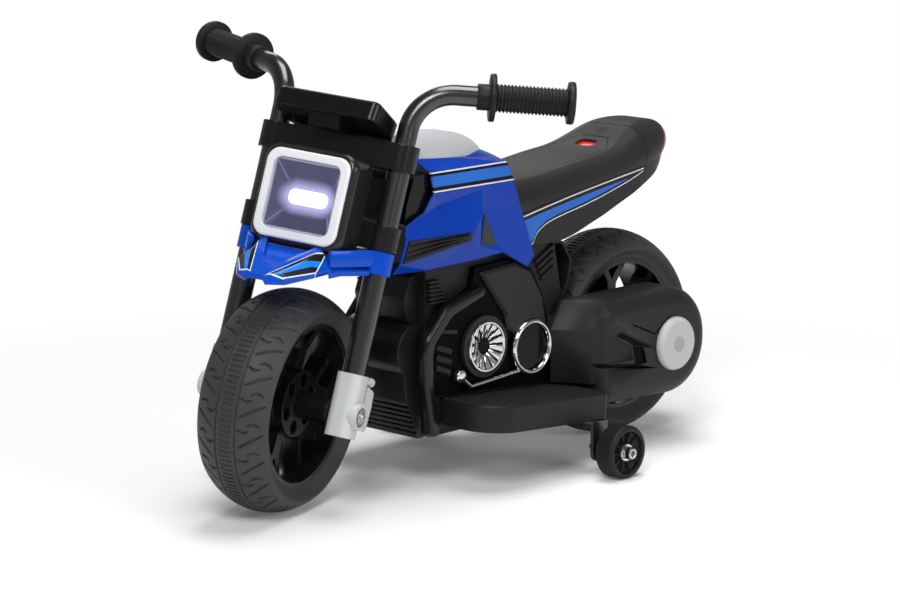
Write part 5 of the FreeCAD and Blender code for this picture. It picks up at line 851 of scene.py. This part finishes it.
def hex_nut(mesh, radius, height, place):
    bmesh.ops.create_cone(mesh, cap_ends=True, segments=6, radius1=radius, radius2=radius, depth=height,
                          matrix=place @ Matrix.Rotation(pi / 2, 4, "X"))
    soften(mesh, mesh.edges[:], 0.0006)


def bolt_nuts():
    collar = ((0.0034, 0.1795), (0.0058, 0.1795), (0.0058, 0.1848), (0.0052, 0.1856), (0.004, 0.1856),
              (0.0034, 0.1846), (0.0034, 0.1795))
    washer = ((0.0068, 0.1755), (0.0098, 0.1755), (0.0098, 0.1764), (0.0092, 0.177), (0.0068, 0.177),
              (0.0068, 0.1755))
    mesh = bmesh.new()
    hex_nut(mesh, 0.0072, 0.0046, Matrix.Translation((bolt_x, 0.1785, bolt_z)))
    for outline in (collar, washer):
        turned(mesh, outline, 48, Matrix.Translation((bolt_x, 0, bolt_z)))
    both_sides(mesh)
    return mesh


training_wheel("training_wheel_left", "trainer_wheel_left", "trainer_left", 1)
training_wheel("training_wheel_right", "trainer_wheel_right", "trainer_right", -1)
piece("bolt_nuts", bolt_nuts(), chrome, "chassis", "steel")
dress(powder_black, "trainer_brackets")

# Fork: black painted steel tubes in gloss black clamps, with light grey moulded castings at the axle and a
# black stem in black bushes. Underneath the lower clamp, the black has painted shade.
casting_grey = moulding("casting_grey", (0.6, 0.615, 0.62), (0.65, 0.665, 0.67),
                        rough=0.36, grain=900.0, grain_depth=0.00006, round_edge=0.0022, shine=0.4)
clamp_black = moulding("clamp_black", (0.006, 0.0057, 0.0057), (0.008, 0.0077, 0.0076),
                       rough=0.2, grain=900.0, grain_depth=0.00006, round_edge=0.0018, shine=0.4)


def front_axes(material):
    """The Object coordinates turned into the front end's own: ahead, across and up the steering axis."""
    turn = add_node(material, "ShaderNodeMapping", vector_type="TEXTURE")
    feed(material, turn.inputs["Vector"], add_node(material, "ShaderNodeTexCoord").outputs["Object"])
    feed(material, turn.inputs["Location"], front_place.translation)
    feed(material, turn.inputs["Rotation"], front_place.to_euler("XYZ"))
    split = add_node(material, "ShaderNodeSeparateXYZ")
    feed(material, split.inputs[0], turn.outputs[0])
    return split.outputs


clamp_underside, clamp_up = 0.1748, front_axes(clamp_black)[2]
# Painted shade: the clamp finish goes near black below the underside of the lower clamp.
paint_shade(clamp_black, calc(clamp_black, "LESS_THAN", clamp_up, clamp_underside))
dress(casting_grey, "fork_castings")
dress(powder_black, "fork_tubes", "handlebars")
dress(clamp_black, "lower_clamp", "upper_clamp", "steering_stem", "steering_bushes")
fork_half = 0.0756


def axle_nuts():
    axle_end = ((0.0034, 0.095), (0.0042, 0.095), (0.0042, 0.0982), (0.0036, 0.0988), (0.0026, 0.0988),
                (0.0022, 0.097), (0, 0.097))
    washer = ((0.0045, 0.0912), (0.0098, 0.0912), (0.0098, 0.0922), (0.0092, 0.0928), (0.0045, 0.0928),
              (0.0045, 0.0912))
    mesh = bmesh.new()
    hex_nut(mesh, 0.0068, 0.005, Matrix.Translation((0, 0.0938, 0)))
    turned(mesh, axle_end, 32)
    turned(mesh, washer, 48)
    both_sides(mesh)
    return mesh


piece("axle_nuts", axle_nuts(), zinc, "front_end", "steel", place=front_place)


# Mudguard: one blue moulding under the headlamp, with a sloped beak. Two sharp ridges run down to the nose
# with a channel between them, a painted panel lies on each wing, and an arm runs to a sleeve round each fork
# tube.
def run(rows, at):
    """A value that runs straight from one (place, value) row to the next."""
    for (low, first), (high, last) in zip(rows, rows[1:]):
        if at <= high:
            return first + (last - first) * (max(at, low) - low) / (high - low)
    return rows[-1][1]


def mudguard_shell():
    half_width = ((-0.01, 0.0615), (0.006, 0.0625), (0.0125, 0.068), (0.0165, 0.0765), (0.057, 0.0505),
                  (0.0785, 0.0465), (0.107, 0.0288), (0.118, 0.012))
    edge_fall = ((0.0, 0.004), (0.0165, 0.006), (0.045, 0.0135), (0.057, 0.0195), (0.0785, 0.0125),
                 (0.107, 0.0075), (0.118, 0.004))
    ridge, ridge_height, channel_depth = ((0.0577, 0.0286), (0.0931, 0.0096)), 0.0016, 0.0062
    back, nose, lip_height = half_width[0][0], half_width[-1][0], 0.0048
    mesh = bmesh.new()
    bmesh.ops.create_grid(mesh, x_segments=96, y_segments=96, size=1.0)
    for vert in mesh.verts:
        ahead = back + (nose - back) * (vert.co.x + 1) / 2
        share = vert.co.y
        across = run(half_width, ahead) * share
        top = 0.157 if ahead < 0.0565 else 0.1632 - 0.683 * (ahead - 0.0555)
        top -= run(edge_fall, ahead) * max(0.0, (abs(share) - 0.7) / 0.3)
        if ridge[0][0] - 0.002 < ahead < ridge[1][0]:
            in_channel = run(ridge, ahead) - abs(across)
            fade = min(1.0, (ridge[1][0] - ahead) / 0.012)
            top -= channel_depth * fade * min(1.0, max(0.0, in_channel / 0.0022))
            top += ridge_height * max(0.0, 1 - abs(in_channel + 0.0012) / 0.0024) * fade
        vert.co = (ahead, across, top)
    bmesh.ops.recalc_face_normals(mesh, faces=mesh.faces)
    rim = [edge for edge in mesh.edges if edge.is_boundary]
    lip = bmesh.ops.extrude_edge_only(mesh, edges=rim)
    low = [item for item in lip["geom"] if isinstance(item, bmesh.types.BMVert)]
    bmesh.ops.translate(mesh, vec=(0, 0, -lip_height), verts=low)
    return mesh


def mudguard_sleeves():
    outline = ((0.0126, 0.1492), (0.0148, 0.1492), (0.0155, 0.15), (0.0155, 0.1735), (0.0148, 0.1743),
               (0.0126, 0.1743), (0.0126, 0.1492))
    mesh = bmesh.new()
    for side in (fork_half, -fork_half):
        turned(mesh, outline, 64, Matrix.Translation((0, side, 0)) @ Matrix.Rotation(pi / 2, 4, "X"))
    return mesh


def mudguard_arms():
    mesh = bmesh.new()
    slat(mesh, (0.058, 0.0475, 0.1532), (0.012, 0.0755, 0.1653), 0.0176, 0.006, (0.52, 0.8544, 0))
    both_sides(mesh)
    return mesh


def mudguard_finish():
    finish = moulding("mudguard_blue", (0.0012, 0.066, 0.52), (0.0015, 0.075, 0.56),
                      rough=0.15, grain=400.0, grain_depth=0.00001, round_edge=0.0012, shine=0.28)
    corners = ((0.0524, 0.0405), (0.1155, 0.009), (0.108, 0.0261), (0.0785, 0.0465))
    beak_foot, border = 0.112, 0.0009
    ahead, across, up = front_axes(finish)
    edges = inside_edges(finish, ahead, calc(finish, "ABSOLUTE", across), corners)
    nearest = least(finish, edges)
    on_wing = calc(finish, "GREATER_THAN", up, beak_foot)
    share = calc(finish, "DIVIDE", edges[0], calc(finish, "ADD", edges[0], edges[2]))
    paint(finish, calc(finish, "MULTIPLY", on_wing, calc(finish, "GREATER_THAN", nearest, 0.0)), stripe_white)
    in_panel = calc(finish, "GREATER_THAN", nearest, border)
    paint(finish, in_panel, stripe_black)
    paint(finish, calc(finish, "MULTIPLY", in_panel, between(finish, share, 0.36, 0.66)), (0.006, 0.21, 0.82))
    return finish


mudguard_blue = mudguard_finish()
shell = piece("mudguard_shell", mudguard_shell(), mudguard_blue, "front_end", "blue_gloss", "mudguard",
              place=front_place)
wall = shell.modifiers.new("wall", "SOLIDIFY")
wall.thickness, wall.offset = 0.0022, -1.0
piece("mudguard_sleeves", mudguard_sleeves(), mudguard_blue, "front_end", "blue_gloss", place=front_place)
piece("mudguard_arms", mudguard_arms(), mudguard_blue, "front_end", "blue_gloss", place=front_place)

# Headlamp: a deep gloss black housing with a white frame, a bluish plated reflector in facets, a lit bar of
# white diodes and a clear lens.
lamp_white = moulding("lamp_white", (0.86, 0.87, 0.9), (0.9, 0.91, 0.93),
                      rough=0.35, grain=500.0, grain_depth=0.00002, round_edge=0.0015, shine=0.4)
housing_black = moulding("housing_black", (0.016, 0.0148, 0.0146), (0.021, 0.0194, 0.0192),
                         rough=0.22, grain=700.0, grain_depth=0.00003, round_edge=0.0014, shine=0.4)
dress(housing_black, "lamp_housing")
dress(lamp_white, "lamp_frame")
lamp_height = 0.2115


def reflector_finish():
    finish = moulding("reflector", (0.06, 0.058, 0.125), (0.072, 0.07, 0.15),
                      rough=0.3, grain=300.0, grain_depth=0.00002, round_edge=0.0006, metal=0.5)
    bar_half, fold_side, fold_lean = 0.0145, 0.01774, -0.584
    _, across, up = front_axes(finish)
    rise = calc(finish, "ABSOLUTE", calc(finish, "SUBTRACT", up, lamp_height))
    side = calc(finish, "ABSOLUTE", across)
    past_bar = calc(finish, "MAXIMUM", calc(finish, "SUBTRACT", side, bar_half), 0.0)
    # Painted light: the reflector is no lamp, but emission paints a glow round the bar and a highlight along
    # each fold.
    painted_glow = ramp(finish, distance(finish, rise, past_bar), 0.007, 0.022, 1.0, 0.022)
    off_fold = calc(finish, "SUBTRACT", calc(finish, "MULTIPLY_ADD", rise, fold_lean, side), fold_side)
    fold_highlight = ramp(finish, calc(finish, "ABSOLUTE", off_fold), 0.0002, 0.001, 0.32, 0.0)
    painted_fold_highlight = calc(finish, "MULTIPLY", fold_highlight, calc(finish, "GREATER_THAN", rise, 0.016))
    shader = shader_of(finish)
    feed(finish, shader.inputs["Emission Color"], (0.55, 0.56, 0.98, 1))
    feed(finish, shader.inputs["Emission Strength"], calc(finish, "ADD", painted_glow, painted_fold_highlight))
    return finish


def lens_finish():
    finish = moulding("clear", (0.2, 0.2, 0.3), (0.24, 0.24, 0.34),
                      rough=0.05, grain=300.0, grain_depth=0.00001, round_edge=0.0005, shine=0.4)
    half_width, half_height = 0.0375, 0.0356
    _, across, up = front_axes(finish)
    side = calc(finish, "ABSOLUTE", across)
    rise = calc(finish, "ABSOLUTE", calc(finish, "SUBTRACT", up, lamp_height))
    past_edge = calc(finish, "MAXIMUM", calc(finish, "SUBTRACT", side, half_width),
                     calc(finish, "SUBTRACT", rise, half_height))
    # Painted highlight: a pale band along the lens edge, also less clear than the middle.
    rim = ramp(finish, past_edge, -0.0012, 0.0008)
    paint(finish, rim, (0.62, 0.64, 0.78))
    feed(finish, shader_of(finish).inputs["Alpha"], calc(finish, "MULTIPLY_ADD", rim, 0.4, 0.08))
    return finish


lit_bar = moulding("lit_bar", (0.9, 0.9, 0.95), (0.95, 0.95, 1.0),
                   rough=0.4, grain=300.0, grain_depth=0.00001, round_edge=0.0006)
feed(lit_bar, shader_of(lit_bar).inputs["Emission Color"], (0.95, 0.96, 1, 1))
feed(lit_bar, shader_of(lit_bar).inputs["Emission Strength"], 1.4)
dress(reflector_finish(), "lamp_reflector")
dress(lit_bar, "led_bar")
dress(lens_finish(), "lamp_lens")


# Grips: black rubber sleeves pushed over the bar ends, with rings along the hand's length, a guard flange
# inside and a wide closed end.
def rubber_grips():
    ring, rings, start = 0.00385, 20, -0.077
    outline = [(0, 0.0005), (0.01105, 0.0005), (0.01105, -0.096), (0.0132, -0.096), (0.014, -0.0952),
               (0.014, -0.083), (0.0247, -0.083), (0.0255, -0.0822), (0.0255, -0.0778), (0.0247, -0.077),
               (0.0136, -0.077)]
    for k in range(rings):
        low = start + ring * k
        outline += [(0.0136, low + 0.0007), (0.0149, low + 0.0012), (0.0152, low + 0.0019),
                    (0.0149, low + 0.0026), (0.0136, low + 0.0031)]
    outline += [(0.0136, -0.0002), (0.0218, -0.0002), (0.0226, 0.0006), (0.0226, 0.0058), (0.0214, 0.007),
                (0, 0.0074)]
    mesh = bmesh.new()
    for side in (1, -1):
        tip, corner = Vector((-0.074, 0.2152 * side, 0.371)), Vector((0, fork_half * side, 0.346))
        along = (tip - corner).normalized()
        arm = along.orthogonal().normalized()
        place = Matrix((arm, along, arm.cross(along))).transposed().to_4x4()
        place.translation = tip
        turned(mesh, outline, 96, place)
    return mesh


rubber = moulding("rubber", (0.009, 0.0086, 0.0086), (0.013, 0.0125, 0.0124),
                  rough=0.46, grain=1600.0, grain_depth=0.0001, round_edge=0.0005, shine=0.25)
piece("rubber_grips", rubber_grips(), rubber, "front_end", "rubber_black", "grips", place=front_place,
      crease=50.0)

# Dash: a gloss black moulded slab on the upper clamp, with a white-marked dial in a plated ring, a red button
# for the horn and a grey one for music.
dash_place = front_place @ Matrix.Translation((0.055, 0, 0.304)) @ Matrix.Rotation(radians(-13.7), 4, "Y")
dial_place = dash_place @ Matrix.Translation((-0.028, 0, 0.021)) @ Matrix.Rotation(pi / 2, 4, "X")
dash_black = moulding("dash_black", (0.006, 0.0056, 0.0057), (0.008, 0.0075, 0.0076),
                      rough=0.22, grain=900.0, grain_depth=0.00006, round_edge=0.002, shine=0.28)
dress(dash_black, "dash")
dress(rocker_red, "button_left")
button_grey = moulding("button_grey", (0.3, 0.31, 0.32), (0.35, 0.36, 0.37),
                       rough=0.35, grain=700.0, grain_depth=0.00004, round_edge=0.0008)
dress(button_grey, "button_right")


def dial_bezel():
    outline = ((0.0168, -0.0006), (0.0195, -0.0006), (0.0195, 0.0012), (0.0188, 0.0022), (0.0176, 0.0022),
               (0.0168, 0.0012), (0.0168, -0.0006))
    mesh = bmesh.new()
    turned(mesh, outline, 72, dial_place)
    return mesh


def dial_marks():
    marks, outer = 11, 0.0153
    mesh = bmesh.new()
    facing = dial_place.to_3x3() @ Vector((0, 1, 0))
    for k in range(marks):
        turn = dial_place @ Matrix.Rotation(radians(-120 + 24 * k), 4, "Y")
        inner = 0.0125 if k % 5 else 0.0112
        start, end = turn @ Vector((-inner, 0.0011, 0)), turn @ Vector((-outer, 0.0011, 0))
        slat(mesh, start, end, 0.0007, 0.0004, facing)
    turn = dial_place @ Matrix.Rotation(radians(-70), 4, "Y")
    slat(mesh, turn @ Vector((0.002, 0.0014, 0)), turn @ Vector((-0.0118, 0.0014, 0)), 0.001, 0.0006, facing)
    return mesh


def dial_face():
    mesh = bmesh.new()
    turned(mesh, ((0, -0.0006), (0.0169, -0.0006), (0.0169, 0.0009), (0, 0.0009)), 72, dial_place)
    return mesh


piece("dial_bezel", dial_bezel(), chrome, "front_end", "chrome_trim")
piece("dial_face", dial_face(), hub_black, "front_end", "black_plastic")
piece("dial_marks", dial_marks(), lamp_white, "front_end", "lamp_white")
